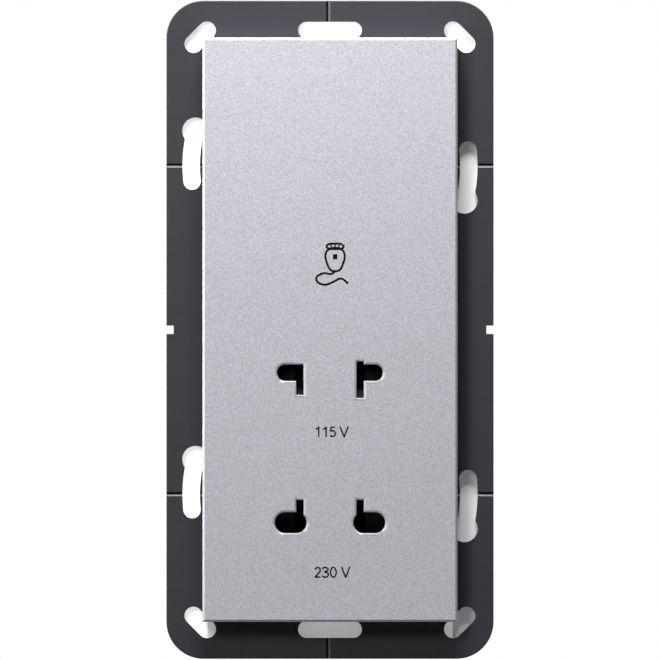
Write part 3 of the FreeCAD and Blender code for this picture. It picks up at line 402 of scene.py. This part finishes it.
for slotName, settings in ridgeSettings.items():
    addRidges(finishes[slotName], settings)
for row in frame["record"]["subparts"]:
    node = cadNodes[row["node"]]
    node.data.materials.clear()
    node.data.materials.append(finishes[row["material_slot"]])
print("finishes made:", len(finishes))

# Support frame: a metal plate with slots for the wall box screws. Its grooves are a little
# narrower and shallower than the solid's, as the photograph shows them.
plateSettings = {
    "cornerRadius": 8.0,
    "cornerSteps": 16,
    "frontEdge": 0.25,
    "frontSteps": 2,
    "softEdge": 0.08,
    "gangPitch": 71.0,
    "notchTall": 1.8,
    "notchDeep": 1.55,
    "grooveHalf": 0.43,
    "grooveDeep": 0.4,
    "grooveShift": -0.4,
    "wallTop": 0.04,
    "wallFoot": 0.02,
    "wallTilt": 0.4,
    "wallTurn": 0.2,
    "endSlotInset": 6.35,
    "endSlotLong": 13.8,
    "endSlotWide": 3.66,
    "cornerSlotInset": (7.3, 7.85),
    "cornerSlotReach": 1.45,
    "cornerSlotRadius": 1.95,
    "keyholeCircle": 30.0,
    "keyholeWide": 3.8,
    "keyholeHead": 2.88,
    "keyholeStart": 14.5,
    "keyholeEnd": 6.4,
    "keyholeSteps": 28,
    "screwPlace": (15.0, 58.8),
    "screwRadius": 1.6,
    "windowHalf": (22.6, 55.7),
    "windowRadius": 1.7,
    "windowSteps": 4,
    "seatDeep": 0.4,
    "seatGap": 0.2,
    "spare": 1.0,
}


# The bent part of a keyhole is a flat profile spun about its gang's centre
def addKeyhole(side, gangZ, front, back, settings):
    start = math.radians(-settings["keyholeStart"])
    turn = math.radians(settings["keyholeStart"] + settings["keyholeEnd"])
    if side < 0:
        start += math.pi
    circle = settings["keyholeCircle"]
    onCircle = lambda angle: (circle * math.cos(angle), gangZ + circle * math.sin(angle))
    x, z = onCircle(start)
    clearPick()
    bpy.ops.mesh.primitive_plane_add(
        size=1,
        location=Vector((x, (front + back) / 2, z)) * mm,
        rotation=(0, -start, 0),
    )
    profile = bpy.context.object
    profile.scale = (settings["keyholeWide"] * mm, (back - front) * mm, 1)
    settle(profile)
    bpy.ops.object.mode_set(mode="EDIT")
    bpy.ops.mesh.select_all(action="SELECT")
    bpy.ops.mesh.spin(steps=settings["keyholeSteps"], angle=turn, center=(0, 0, gangZ * mm), axis=(0, 1, 0))
    bpy.ops.mesh.select_all(action="SELECT")
    bpy.ops.mesh.normals_make_consistent(inside=False)
    bpy.ops.object.mode_set(mode="OBJECT")
    half = settings["keyholeWide"] / 2
    rounds = ((start, settings["keyholeHead"]), (start, half), (start + turn, half))
    return [profile] + [addRod(*onCircle(angle), front, back, radius) for angle, radius in rounds]


# A V-groove cutter: a square bar on edge, squeezed to the groove's width and depth
def addGroove(middle, alongX, reach, front, settings):
    clearPick()
    bpy.ops.mesh.primitive_cube_add(size=1)
    bar = bpy.context.object
    bar.rotation_euler[0 if alongX else 2] = math.radians(45)
    settle(bar)
    across = settings["grooveHalf"] * math.sqrt(2) * mm
    deep = settings["grooveDeep"] * math.sqrt(2) * mm
    bar.scale = (reach * mm, deep, across) if alongX else (across, deep, reach * mm)
    bar.location = Vector((0, front, middle) if alongX else (middle, front, 0)) * mm
    return settle(bar)


# The slots, keyholes and screw holes of one gang: up is -1 for the lower one and 1 for the upper
def gangCutters(up, high, through, settings):
    reach = (settings["endSlotLong"] - settings["endSlotWide"]) / 2
    level = (high.z - settings["endSlotInset"]) * up
    cutters = addSlot((-reach, level), (reach, level), settings["endSlotWide"] / 2, *through)
    step = settings["cornerSlotReach"]
    insetX, insetZ = settings["cornerSlotInset"]
    screwX, screwZ = settings["screwPlace"]
    for side in (-1, 1):
        x = (high.x - insetX) * side
        z = (high.z - insetZ) * up
        inner = (x - step * side, z + step * up)
        outer = (x + step * side, z - step * up)
        cutters += addSlot(inner, outer, settings["cornerSlotRadius"], *through)
        cutters += addKeyhole(side, settings["gangPitch"] / 2 * up, *through, settings)
        cutters.append(addRod(screwX * side, screwZ * up, *through, settings["screwRadius"]))
    return cutters


def upright(a, b):
    return abs(a.x - b.x) < near and abs(a.z - b.z) < near


# All that is cut from the plate, in the order in which it is cut, with the carrier's seat last
def plateCutters(low, high, settings):
    front, back, spare = low.y, high.y, settings["spare"]
    through = (front - spare, back + spare)
    windowX, windowZ = settings["windowHalf"]
    window = addBlock((-windowX, through[0], -windowZ), (windowX, through[1], windowZ))
    bevelEdges(window, upright, settings["windowRadius"], settings["windowSteps"])
    cutters = [window]
    for up in (-1, 1):
        cutters += gangCutters(up, high, through, settings)
        level = settings["gangPitch"] / 2 * up
        cutters.append(addGroove(level, True, (high.x + spare) * 2, front, settings))
    for side in (-1, 1):
        left, right = sorted(((high.x - settings["notchDeep"]) * side, (high.x + spare) * side))
        tall = settings["notchTall"] / 2
        cutters.append(addBlock((left, through[0], -tall), (right, through[1], tall)))
    cutters.append(addGroove(settings["grooveShift"], False, (high.z + spare) * 2, front, settings))
    carrierLow, carrierHigh = boxInMm("contact_carrier")
    gap = settings["seatGap"]
    seatLow = (carrierLow.x - gap, back - settings["seatDeep"], carrierLow.z - gap)
    seatHigh = (carrierHigh.x + gap, through[1] + spare, carrierHigh.z + gap)
    return cutters + [addBlock(seatLow, seatHigh)]


# Groove walls facing up or left get a painted highlight, and those facing down or right a painted shade
def paintGrooves(plate, front, settings):
    plate.data.materials.append(finishes["painted_groove_highlight"])
    plate.data.materials.append(finishes["groove_shade"])
    half, least, most = settings["grooveHalf"], settings["wallTilt"], settings["wallTurn"]
    for face in plate.data.polygons:
        at = face.center / mm
        if not front + settings["wallTop"] < at.y < front + settings["grooveDeep"] + settings["wallFoot"]:
            continue
        facing = face.normal
        fromLevel = abs(abs(at.z) - settings["gangPitch"] / 2)
        fromUpright = abs(at.x - settings["grooveShift"])
        tilt = 0
        if fromLevel < half and abs(facing.z) > least and abs(facing.x) < most:
            tilt = facing.z
        if fromUpright < half and abs(facing.z) < most:
            tilt = -facing.x
        if abs(tilt) > least:
            face.material_index = 1 if tilt > 0 else 2


def buildFramePlate(settings):
    low, high = boxInMm("support_frame")
    front = low.y
    plate = addBlock(low, high)
    bevelEdges(plate, upright, settings["cornerRadius"], settings["cornerSteps"])
    onFront = lambda a, b: a.y < front + near and b.y < front + near
    bevelEdges(plate, onFront, settings["frontEdge"], settings["frontSteps"])
    cutAway(plate, plateCutters(low, high, settings))
    softenEdges(plate, settings["softEdge"])
    finishPiece(plate, "frame_plate", "unit", finishes["frame_metal"], ["support_frame"])
    paintGrooves(plate, front, settings)


buildFramePlate(plateSettings)

# How a copied mesh is closed: points this close are merged, and faces this flat are joined
copySettings = {"merge": 0.002, "flat": 0.5}


# A piece that keeps a CAD node's form, with its seams closed and its edges softened
def dressCopy(nodeName, pieceName, body, slotName, softEdge, shape=None, finishName=None):
    mesh = cadNodes[nodeName].data.copy()
    piece = bpy.data.objects.new(pieceName, mesh)
    bpy.context.scene.collection.objects.link(piece)
    pick(piece)
    bpy.ops.object.mode_set(mode="EDIT")
    bpy.ops.mesh.select_all(action="SELECT")
    bpy.ops.mesh.remove_doubles(threshold=copySettings["merge"] * mm)
    bpy.ops.mesh.dissolve_limited(angle_limit=math.radians(copySettings["flat"]))
    bpy.ops.mesh.customdata_custom_splitnormals_clear()
    bpy.ops.object.mode_set(mode="OBJECT")
    if shape:
        shape(piece)
    softenEdges(piece, softEdge)
    return finishPiece(piece, pieceName, body, finishes[finishName or slotName], [nodeName])


# Cover: its front lies one layer of print behind the measured front. The hole field gives how far
# the holes reach sideways, and their lowest and highest level.
coverSettings = {
    "softEdge": 0.05,
    "printLayer": 0.03,
    "holeField": (16.0, -50.0, -5.0),
    "holeRim": 0.25,
    "rimSpare": 0.02,
    "rimTilt": 0.3,
}


def inHoleField(at):
    reachX, lowZ, highZ = coverSettings["holeField"]
    return abs(at.x) < reachX and lowZ < at.z < highZ


def shapeCover(piece):
    front = boxInMm("cover")[0].y
    atHole = lambda a: a.y < front + near and inHoleField(a)
    bevelEdges(piece, lambda a, b: atHole(a) and atHole(b), coverSettings["holeRim"], 1)
    for vertex in piece.data.vertices:
        if vertex.co.y / mm < front + near:
            vertex.co.y += coverSettings["printLayer"] * mm


# The rims' left-facing sides get a painted highlight, and their upward-facing sides a darker painted shade
def paintRims(shell, settings):
    shell.data.materials.append(finishes["painted_rim_highlight"])
    shell.data.materials.append(finishes["painted_rim_shade"])
    top = boxInMm("cover")[0].y + settings["rimSpare"]
    least = settings["rimTilt"]
    for face in shell.data.polygons:
        at = face.center / mm
        facing = face.normal
        if not (top < at.y < top + settings["holeRim"] and inHoleField(at)):
            continue
        if facing.y < -least and facing.z - facing.x > least:
            face.material_index = 2 if facing.z > -facing.x else 1


def buildCover(settings):
    shell = dressCopy("cover", "cover_shell", "unit", "silver_plastic", settings["softEdge"], shapeCover)
    paintRims(shell, settings)


buildCover(coverSettings)

# The rear housing gets a shallow bare field on its back and level grooves on both deep sides
housingSettings = {
    "fieldInset": 4.5,
    "fieldDeep": 0.5,
    "grooveStart": 9.0,
    "groovePitch": 5.2,
    "grooveCount": 8,
    "grooveWide": 1.6,
    "grooveDeep": 0.6,
    "grooveFrontInset": 10.0,
    "grooveBackInset": 5.0,
    "spare": 1.0,
}


# Splits the wanted faces along planes, each an axis and a level, and then moves those of them
# whose middle lies in one of the boxes
def pressFaces(piece, wanted, planes, boxes, move):
    for axis, level in planes:
        across = Vector([1.0 if index == axis else 0.0 for index in range(3)])
        pickFaces(piece, wanted)
        bpy.ops.mesh.bisect(plane_co=across * level * mm, plane_no=across)
    inBox = lambda at: any(all(low[k] < at[k] < high[k] for k in range(3)) for low, high in boxes)
    pickFaces(piece, lambda at, facing: wanted(at, facing) and inBox(at))
    bpy.ops.mesh.extrude_region_move(TRANSFORM_OT_translate={"value": Vector(move) * mm})
    bpy.ops.object.mode_set(mode="OBJECT")


def pressBackField(piece, sideX, back, settings):
    levels = [vertex.co.z / mm for vertex in piece.data.vertices if vertex.co.y / mm > back - near]
    inset = settings["fieldInset"]
    left, right = -sideX + inset, sideX - inset
    foot, head = min(levels) + inset, max(levels) - inset
    onBack = lambda at, facing: facing.y > straight and at.y > back - near
    planes = [(0, left), (0, right), (2, foot), (2, head)]
    field = ((left, 0, foot), (right, back + settings["spare"], head))
    pressFaces(piece, onBack, planes, [field], (0, -settings["fieldDeep"], 0))


def pressSideGrooves(piece, side, sideX, front, back, settings):
    reach = sideX + settings["spare"]
    planes = [(1, front), (1, back)]
    grooves = []
    for step in range(settings["grooveCount"]):
        foot = settings["grooveStart"] + step * settings["groovePitch"]
        head = foot + settings["grooveWide"]
        planes += [(2, foot), (2, head)]
        grooves.append(((-reach, front, foot), (reach, back, head)))
    onSide = lambda at, facing: facing.x * side > straight and at.x * side > sideX - near and at.z > 0
    pressFaces(piece, onSide, planes, grooves, (-side * settings["grooveDeep"], 0, 0))


def shapeHousing(piece):
    settings = housingSettings
    low, high = boxInMm("rear_housing")
    sideX = max(abs(vertex.co.x) for vertex in piece.data.vertices if vertex.co.y / mm > high.y / 2) / mm
    pressBackField(piece, sideX, high.y, settings)
    front, back = low.y + settings["grooveFrontInset"], high.y - settings["grooveBackInset"]
    for side in (-1, 1):
        pressSideGrooves(piece, side, sideX, front, back, settings)


# Inner and rear pieces, each with the width of its softened edges
dressedPieces = {
    "contact_carrier": ("carrier_moulding", "unit", "black_plastic", 0.12),
    "shutter_slide": ("slide_moulding", "shutter", "black_plastic", 0.1),
    "rear_housing": ("housing_moulding", "unit", "black_plastic", 0.2),
    "terminal_block": ("terminal_moulding", "unit", "grey_plastic", 0.12),
    "coil_former": ("former_moulding", "unit", "former_plastic", 0.1),
    "assembly_screws": ("frame_screws", "unit", "zinc_steel", 0.15),
    "board_screws": ("board_fixings", "unit", "zinc_steel", 0.1),
    "core_screws": ("core_fixings", "unit", "zinc_steel", 0.12),
    "terminal_screws": ("clamp_screws", "unit", "zinc_steel", 0.08),
    "terminal_clamps": ("wire_clamps", "unit", "brass", 0.06),
    "thermal_cutout": ("cutout_case", "unit", "black_plastic", 0.12),
    "circuit_board": ("board_sheet", "unit", "board", 0.06),
    "former_pins": ("coil_pins", "unit", "spring_steel", 0.05),
    "common_contact_strip": ("common_strip", "unit", "brass", 0.04),
    "contact_115": ("low_voltage_contact", "unit", "brass", 0.04),
    "contact_230": ("high_voltage_contact", "unit", "brass", 0.04),
    "switch_contacts": ("fixed_switch_contacts", "unit", "brass", 0.04),
    "switch_bridge": ("moving_switch_bridge", "shutter", "brass", 0.04),
    "e_laminations": ("e_stack", "unit", "core_steel", 0.12),
    "i_laminations": ("i_stack", "unit", "core_steel", 0.12),
    "primary_winding": ("primary_coil", "unit", "winding", 0.5),
    "secondary_winding": ("secondary_coil", "unit", "winding", 0.5),
}
pieceShapes = {"rear_housing": shapeHousing}

# Pieces seen through the holes get darker copies of their slot's finish, as painted shade inside the holes
paintedShadeFinishes = {
    "contact_carrier": "painted_shade_black",
    "shutter_slide": "painted_shade_black",
    "common_contact_strip": "painted_shade_brass",
    "contact_115": "painted_shade_brass",
    "contact_230": "painted_shade_brass",
}
for nodeName, settings in dressedPieces.items():
    dressCopy(nodeName, *settings, pieceShapes.get(nodeName), paintedShadeFinishes.get(nodeName))

# Return springs, each with the end at which the housing holds it: -1 for its lower and 1 for its
# upper end
springSettings = {
    "left_return_spring": ("left_spring_coil", -1),
    "right_return_spring": ("right_spring_coil", 1),
}


def buildSpring(nodeName, pieceName):
    coil = dressCopy(nodeName, pieceName, None, "spring_steel", 0)
    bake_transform(coil)


for nodeName, (pieceName, fixedEnd) in springSettings.items():
    buildSpring(nodeName, pieceName)

# Marks printed in black on the cover: the two voltages and a plain shaver with its cord
printSettings = {
    "stroke": 0.325,
    "signStroke": 0.46,
    "headShare": 0.6,
    "roundSteps": 2,
    "curveSteps": 8,
    "voltages": {
        "115 V": {
            "place": (-3.07, -23.02),
            "tall": 2.03,
            "starts": (0, 1.59, 3.02, None, 5.28),
            "wide": (0.76, 0.76, 1.28, 0, 1.68),
        },
        "230 V": {
            "place": (-3.38, -53.35),
            "tall": 2.11,
            "starts": (0, 1.53, 3.46, None, 5.92),
            "wide": (1.46, 1.65, 1.28, 0, 1.69),
        },
    },
    "shaverMiddle": (1.1, 15.2),
    "shaverBody": [
        (-1.5, 2.05), (0, 2.2), (1.5, 2.05), (2.05, 1.0), (1.6, -1.2),
        (0.95, -2.3), (0, -2.55), (-0.95, -2.3), (-1.6, -1.2), (-2.05, 1.0),
    ],
    "shaverHead": [(-1.8, 2.62), (-1.5, 3.2), (0, 3.36), (1.5, 3.2), (1.8, 2.62), (0, 2.5)],
    "headLines": [(-0.85, 2.6, 3.15), (0.0, 2.6, 3.2), (0.85, 2.6, 3.15)],
    "switch": (0.0, 1.1, 0.95),
    "cord": [
        (0, -2.6), (-0.7, -3.1), (-2.7, -3.05), (-4.05, -4.2),
        (-2.5, -5.45), (-0.2, -4.75), (1.25, -4.15), (2.8, -5.2),
    ],
}

# Each figure is drawn with a pen in a cell one wide and one tall. A stroke is its points, whether
# it is smooth and whether it is closed.
figureStrokes = {
    "1": [
        ([(0.05, 0.74), (0.84, 1.0)], False, False),
        ([(0.84, 1.07), (0.84, -0.07)], False, False),
    ],
    "5": [
        ([(0.88, 1.0), (0.2, 1.0), (0.12, 0.54)], False, False),
        ([(0.12, 0.54), (0.48, 0.63), (0.93, 0.32), (0.46, 0.0), (0.05, 0.11)], True, False),
    ],
    "2": [
        ([(0.08, 0.76), (0.47, 1.0), (0.88, 0.74), (0.6, 0.4), (0.08, 0.0)], True, False),
        ([(0.08, 0.0), (0.92, 0.0)], False, False),
    ],
    "3": [
        ([(0.08, 0.84), (0.46, 1.0), (0.86, 0.76), (0.38, 0.54)], True, False),
        ([(0.38, 0.54), (0.92, 0.27), (0.44, 0.0), (0.05, 0.15)], True, False),
    ],
    "0": [([(0.5, 1.0), (0.92, 0.72), (0.92, 0.28), (0.5, 0.0), (0.08, 0.28), (0.08, 0.72)], True, True)],
    "V": [([(-0.03, 1.07), (0.5, -0.05), (1.03, 1.07)], False, False)],
}


# A printed line through some points: one smooth run, or straight runs that each keep the full width
def addStroke(points, width, smooth=True, closed=False):
    data = bpy.data.curves.new("stroke", "CURVE")
    data.dimensions = "3D"
    data.bevel_depth = width / 2 * mm
    data.bevel_resolution = printSettings["roundSteps"]
    data.resolution_u = printSettings["curveSteps"]
    data.use_fill_caps = True
    for run in [points] if smooth else zip(points, points[1:]):
        line = data.splines.new("BEZIER")
        line.bezier_points.add(len(run) - 1)
        line.use_cyclic_u = closed
        for corner, (x, z) in zip(line.bezier_points, run):
            corner.co = (x * mm, 0, z * mm)
            corner.handle_left_type = "AUTO" if smooth else "VECTOR"
            corner.handle_right_type = "AUTO" if smooth else "VECTOR"
    stroke = bpy.data.objects.new("stroke", data)
    bpy.context.scene.collection.objects.link(stroke)
    pick(stroke)
    bpy.ops.object.convert(target="MESH")
    return bpy.context.object


def addFigures(words, line, settings):
    left, foot = line["place"]
    strokes = []
    for figure, start, wide in zip(words, line["starts"], line["wide"]):
        for points, smooth, closed in figureStrokes.get(figure, ()):
            placed = [(left + start + x * wide, foot + z * line["tall"]) for x, z in points]
            strokes.append(addStroke(placed, settings["stroke"], smooth, closed))
    return strokes


# Joins some strokes to one mark and flattens it to the layer of print on the cover
def joinMarks(marks, name):
    front = boxInMm("cover")[0].y
    layer = coverSettings["printLayer"]
    pick(*marks)
    if len(marks) > 1:
        bpy.ops.object.join()
    sign = bpy.context.object
    levels = [vertex.co.y for vertex in sign.data.vertices]
    depth = max(levels) - min(levels)
    for vertex in sign.data.vertices:
        vertex.co.y = (front + layer / 2) * mm + vertex.co.y / depth * layer * mm
    finishPiece(sign, name, "unit", finishes["black_print"])


def buildMarks(settings):
    for words, line in settings["voltages"].items():
        joinMarks(addFigures(words, line, settings), "figures_" + words[:3])
    middleX, middleZ = settings["shaverMiddle"]
    placed = lambda points: [(middleX + x, middleZ + z) for x, z in points]
    width = settings["signStroke"]
    strokes = [
        addStroke(placed(settings["shaverBody"]), width, closed=True),
        addStroke(placed(settings["shaverHead"]), width, closed=True),
        addStroke(placed(settings["cord"]), width),
    ]
    for x, low, high in settings["headLines"]:
        strokes.append(addStroke(placed([(x, low), (x, high)]), width * settings["headShare"], smooth=False))
    joinMarks(strokes, "shaver_sign")
    foot, head, thick = settings["switch"]
    joinMarks([addStroke(placed([(0, foot), (0, head)]), thick, smooth=False)], "shaver_switch")


buildMarks(printSettings)

# Camera straight in front, with a very long lens so that depth hardly changes the scale. Its nearest
# and furthest clip, the second one measured behind the cover, are in metres.
cameraSettings = {
    "lens": 1200.0,
    "sensor": 36.0,
    "seen": 142.36,
    "x": 0.0,
    "z": -0.04,
    "clipNear": 0.1,
    "clipBehind": 10.0,
}


def buildCamera(settings):
    data = bpy.data.cameras.new("camera")
    data.type = "PERSP"
    data.lens = settings["lens"]
    data.sensor_width = settings["sensor"]
    data.sensor_fit = "HORIZONTAL"
    camera = bpy.data.objects.new("camera", data)
    bpy.context.scene.collection.objects.link(camera)
    distance = settings["seen"] * mm * settings["lens"] / settings["sensor"]
    camera.location = (settings["x"] * mm, cadBounds[0].y - distance, settings["z"] * mm)
    camera.rotation_euler = (math.radians(90), 0, 0)
    data.clip_start = settings["clipNear"]
    data.clip_end = distance + settings["clipBehind"]
    bpy.context.scene.camera = camera


buildCamera(cameraSettings)


# Shows a stage material only where its mask is one
def mixInClear(tree, mask):
    clear = addNode(tree, "ShaderNodeBsdfTransparent")
    mix = addNode(tree, "ShaderNodeMixShader")
    tree.links.new(mask, mix.inputs["Fac"])
    tree.links.new(clear.outputs[0], mix.inputs[1])
    tree.links.new(tree.nodes["Principled BSDF"].outputs[0], mix.inputs[2])
    tree.links.new(mix.outputs[0], tree.nodes["Material Output"].inputs["Surface"])


# Lamps, in metres and watts, all aimed at the middle of the frame
lampSettings = {
    "key": {"place": (-0.30, -0.95, 0.33), "size": 0.25, "watts": 3.5},
    "sheen": {"place": (0.0, -0.2, 0.32), "size": 0.12, "watts": 1.85},
    "topRim": {"place": (0.0, -0.06, 0.6), "size": 0.1, "watts": 2.2},
    "leftRim": {"place": (-0.6, -0.08, 0.05), "size": 0.1, "watts": 1.17},
    "back": {"place": (0.22, 0.55, 0.30), "size": 0.35, "watts": 2.6},
    "backLeft": {"place": (-0.45, 0.35, 0.12), "size": 0.3, "watts": 1.2},
}


def addLamp(name, settings):
    data = bpy.data.lights.new(name, "AREA")
    data.shape = "SQUARE"
    data.size = settings["size"]
    data.energy = settings["watts"]
    lamp = bpy.data.objects.new(name, data)
    lamp.location = settings["place"]
    lamp.rotation_euler = (-Vector(settings["place"])).to_track_quat("-Z", "Y").to_euler()
    bpy.context.scene.collection.objects.link(lamp)


for name, settings in lampSettings.items():
    addLamp(name, settings)

worldSettings = {"level": 0.03}


# The world is white to look at, and lights the object only a little
def buildWorld(settings):
    world = bpy.data.worlds.new("studio")
    bpy.context.scene.world = world
    world.use_nodes = True
    tree = world.node_tree
    background = tree.nodes["Background"]
    background.inputs["Color"].default_value = (1, 1, 1, 1)
    background.inputs["Strength"].default_value = settings["level"]
    path = addNode(tree, "ShaderNodeLightPath")
    seen = mathNode(tree, "MAXIMUM", path.outputs["Is Camera Ray"], path.outputs["Is Transmission Ray"])
    white = addNode(tree, "ShaderNodeBackground")
    white.inputs["Color"].default_value = (1, 1, 1, 1)
    white.inputs["Strength"].default_value = 1
    mix = addNode(tree, "ShaderNodeMixShader")
    tree.links.new(seen, mix.inputs["Fac"])
    tree.links.new(background.outputs[0], mix.inputs[1])
    tree.links.new(white.outputs[0], mix.inputs[2])
    tree.links.new(mix.outputs[0], tree.nodes["World Output"].inputs["Surface"])


buildWorld(worldSettings)

# Floor: millimetres below the frame, and metres for its radius and for where its fade starts
floorSettings = {
    "drop": 3.2,
    "radius": 0.2,
    "fade": 0.09,
    "sides": 96,
    "level": 0.85,
    "bounce": 0.1,
    "glow": 0.3,
    "roughness": 0.9,
    "specular": 0.1,
}


# The floor is pale to look at, but sends little light back up to the object
def makeFloorFinish(settings):
    material = bpy.data.materials.new("paleFloor")
    material.use_nodes = True
    tree = material.node_tree
    shader = tree.nodes["Principled BSDF"]
    shader.inputs["Roughness"].default_value = settings["roughness"]
    shader.inputs["Specular IOR Level"].default_value = settings["specular"]
    path = addNode(tree, "ShaderNodeLightPath")
    level = addNode(tree, "ShaderNodeMapRange")
    tree.links.new(path.outputs["Is Camera Ray"], level.inputs["Value"])
    level.inputs["To Min"].default_value = settings["bounce"]
    level.inputs["To Max"].default_value = settings["level"]
    tree.links.new(level.outputs["Result"], shader.inputs["Base Color"])
    glow = mathNode(tree, "MULTIPLY", path.outputs["Is Camera Ray"], settings["glow"])
    shader.inputs["Emission Color"].default_value = (1, 1, 1, 1)
    tree.links.new(glow, shader.inputs["Emission Strength"])
    place = addNode(tree, "ShaderNodeTexCoord")
    flat = addNode(tree, "ShaderNodeVectorMath", operation="MULTIPLY")
    flat.inputs[1].default_value = (1, 1, 0)
    tree.links.new(place.outputs["Object"], flat.inputs[0])
    reach = addNode(tree, "ShaderNodeVectorMath", operation="LENGTH")
    tree.links.new(flat.outputs["Vector"], reach.inputs[0])
    fade = addNode(tree, "ShaderNodeMapRange", interpolation_type="SMOOTHSTEP")
    tree.links.new(reach.outputs["Value"], fade.inputs["Value"])
    fade.inputs["From Min"].default_value = settings["fade"]
    fade.inputs["From Max"].default_value = settings["radius"]
    fade.inputs["To Min"].default_value = 1
    fade.inputs["To Max"].default_value = 0
    side = addNode(tree, "ShaderNodeNewGeometry")
    above = mathNode(tree, "SUBTRACT", 1.0, side.outputs["Backfacing"])
    mixInClear(tree, mathNode(tree, "MULTIPLY", above, fade.outputs["Result"]))
    return material


def buildFloor(settings):
    clearPick()
    bpy.ops.mesh.primitive_circle_add(
        vertices=settings["sides"],
        radius=settings["radius"],
        fill_type="NGON",
        location=(0, 0, cadBounds[0].z - settings["drop"] * mm),
    )
    floor = settle(bpy.context.object)
    floor.name = "floor"
    floor.data.materials.append(makeFloorFinish(settings))


buildFloor(floorSettings)

# White cards close behind the frame, seen through its slots and clear from behind. Each glows by its
# own amount, as painted light; the right card and the lower one glow less, a painted shadow of the cover.
# The inset keeps their corners behind the frame's round corners.
cardSettings = {
    "inset": 2.6,
    "inner": (26.5, 59.5),
    "gap": 0.3,
    "tone": 0.9,
    "glow": {"sideCardLow": 0.7, "endCardLow": 0.3, "sideCardHigh": 0.1, "endCardHigh": 0.6},
}


def makeCardFinish(name, settings):
    tone = settings["tone"]
    material = bpy.data.materials.new(name)
    material.use_nodes = True
    tree = material.node_tree
    shader = tree.nodes["Principled BSDF"]
    shader.inputs["Base Color"].default_value = (tone, tone, tone, 1)
    shader.inputs["Roughness"].default_value = 1
    shader.inputs["Specular IOR Level"].default_value = 0
    shader.inputs["Emission Color"].default_value = (1, 1, 1, 1)
    shader.inputs["Emission Strength"].default_value = settings["glow"][name]
    side = addNode(tree, "ShaderNodeNewGeometry")
    path = addNode(tree, "ShaderNodeLightPath")
    ahead = mathNode(tree, "SUBTRACT", 1.0, side.outputs["Backfacing"])
    mixInClear(tree, mathNode(tree, "MULTIPLY", ahead, path.outputs["Is Camera Ray"]))
    return material


# A card that faces the camera, from its lower left to its upper right corner
def addCard(name, low, high, level, settings):
    clearPick()
    bpy.ops.mesh.primitive_plane_add(
        size=1,
        location=Vector(((low[0] + high[0]) / 2, level, (low[1] + high[1]) / 2)) * mm,
        rotation=(math.radians(90), 0, 0),
    )
    card = bpy.context.object
    card.name = name
    card.scale = ((high[0] - low[0]) * mm, (high[1] - low[1]) * mm, 1)
    settle(card)
    card.data.materials.append(makeCardFinish(name, settings))


def buildCards(settings):
    high = boxInMm("support_frame")[1]
    outerX, outerZ = high.x - settings["inset"], high.z - settings["inset"]
    innerX, innerZ = settings["inner"]
    level = high.y + settings["gap"]
    addCard("sideCardLow", (-outerX, -outerZ), (-innerX, innerZ), level, settings)
    addCard("endCardLow", (-innerX, -outerZ), (innerX, -innerZ), level, settings)
    addCard("sideCardHigh", (innerX, -outerZ), (outerX, innerZ), level, settings)
    addCard("endCardHigh", (-outerX, innerZ), (outerX, outerZ), level, settings)


buildCards(cardSettings)
bpy.context.scene.view_settings.view_transform = "Standard"
print("studio ready")
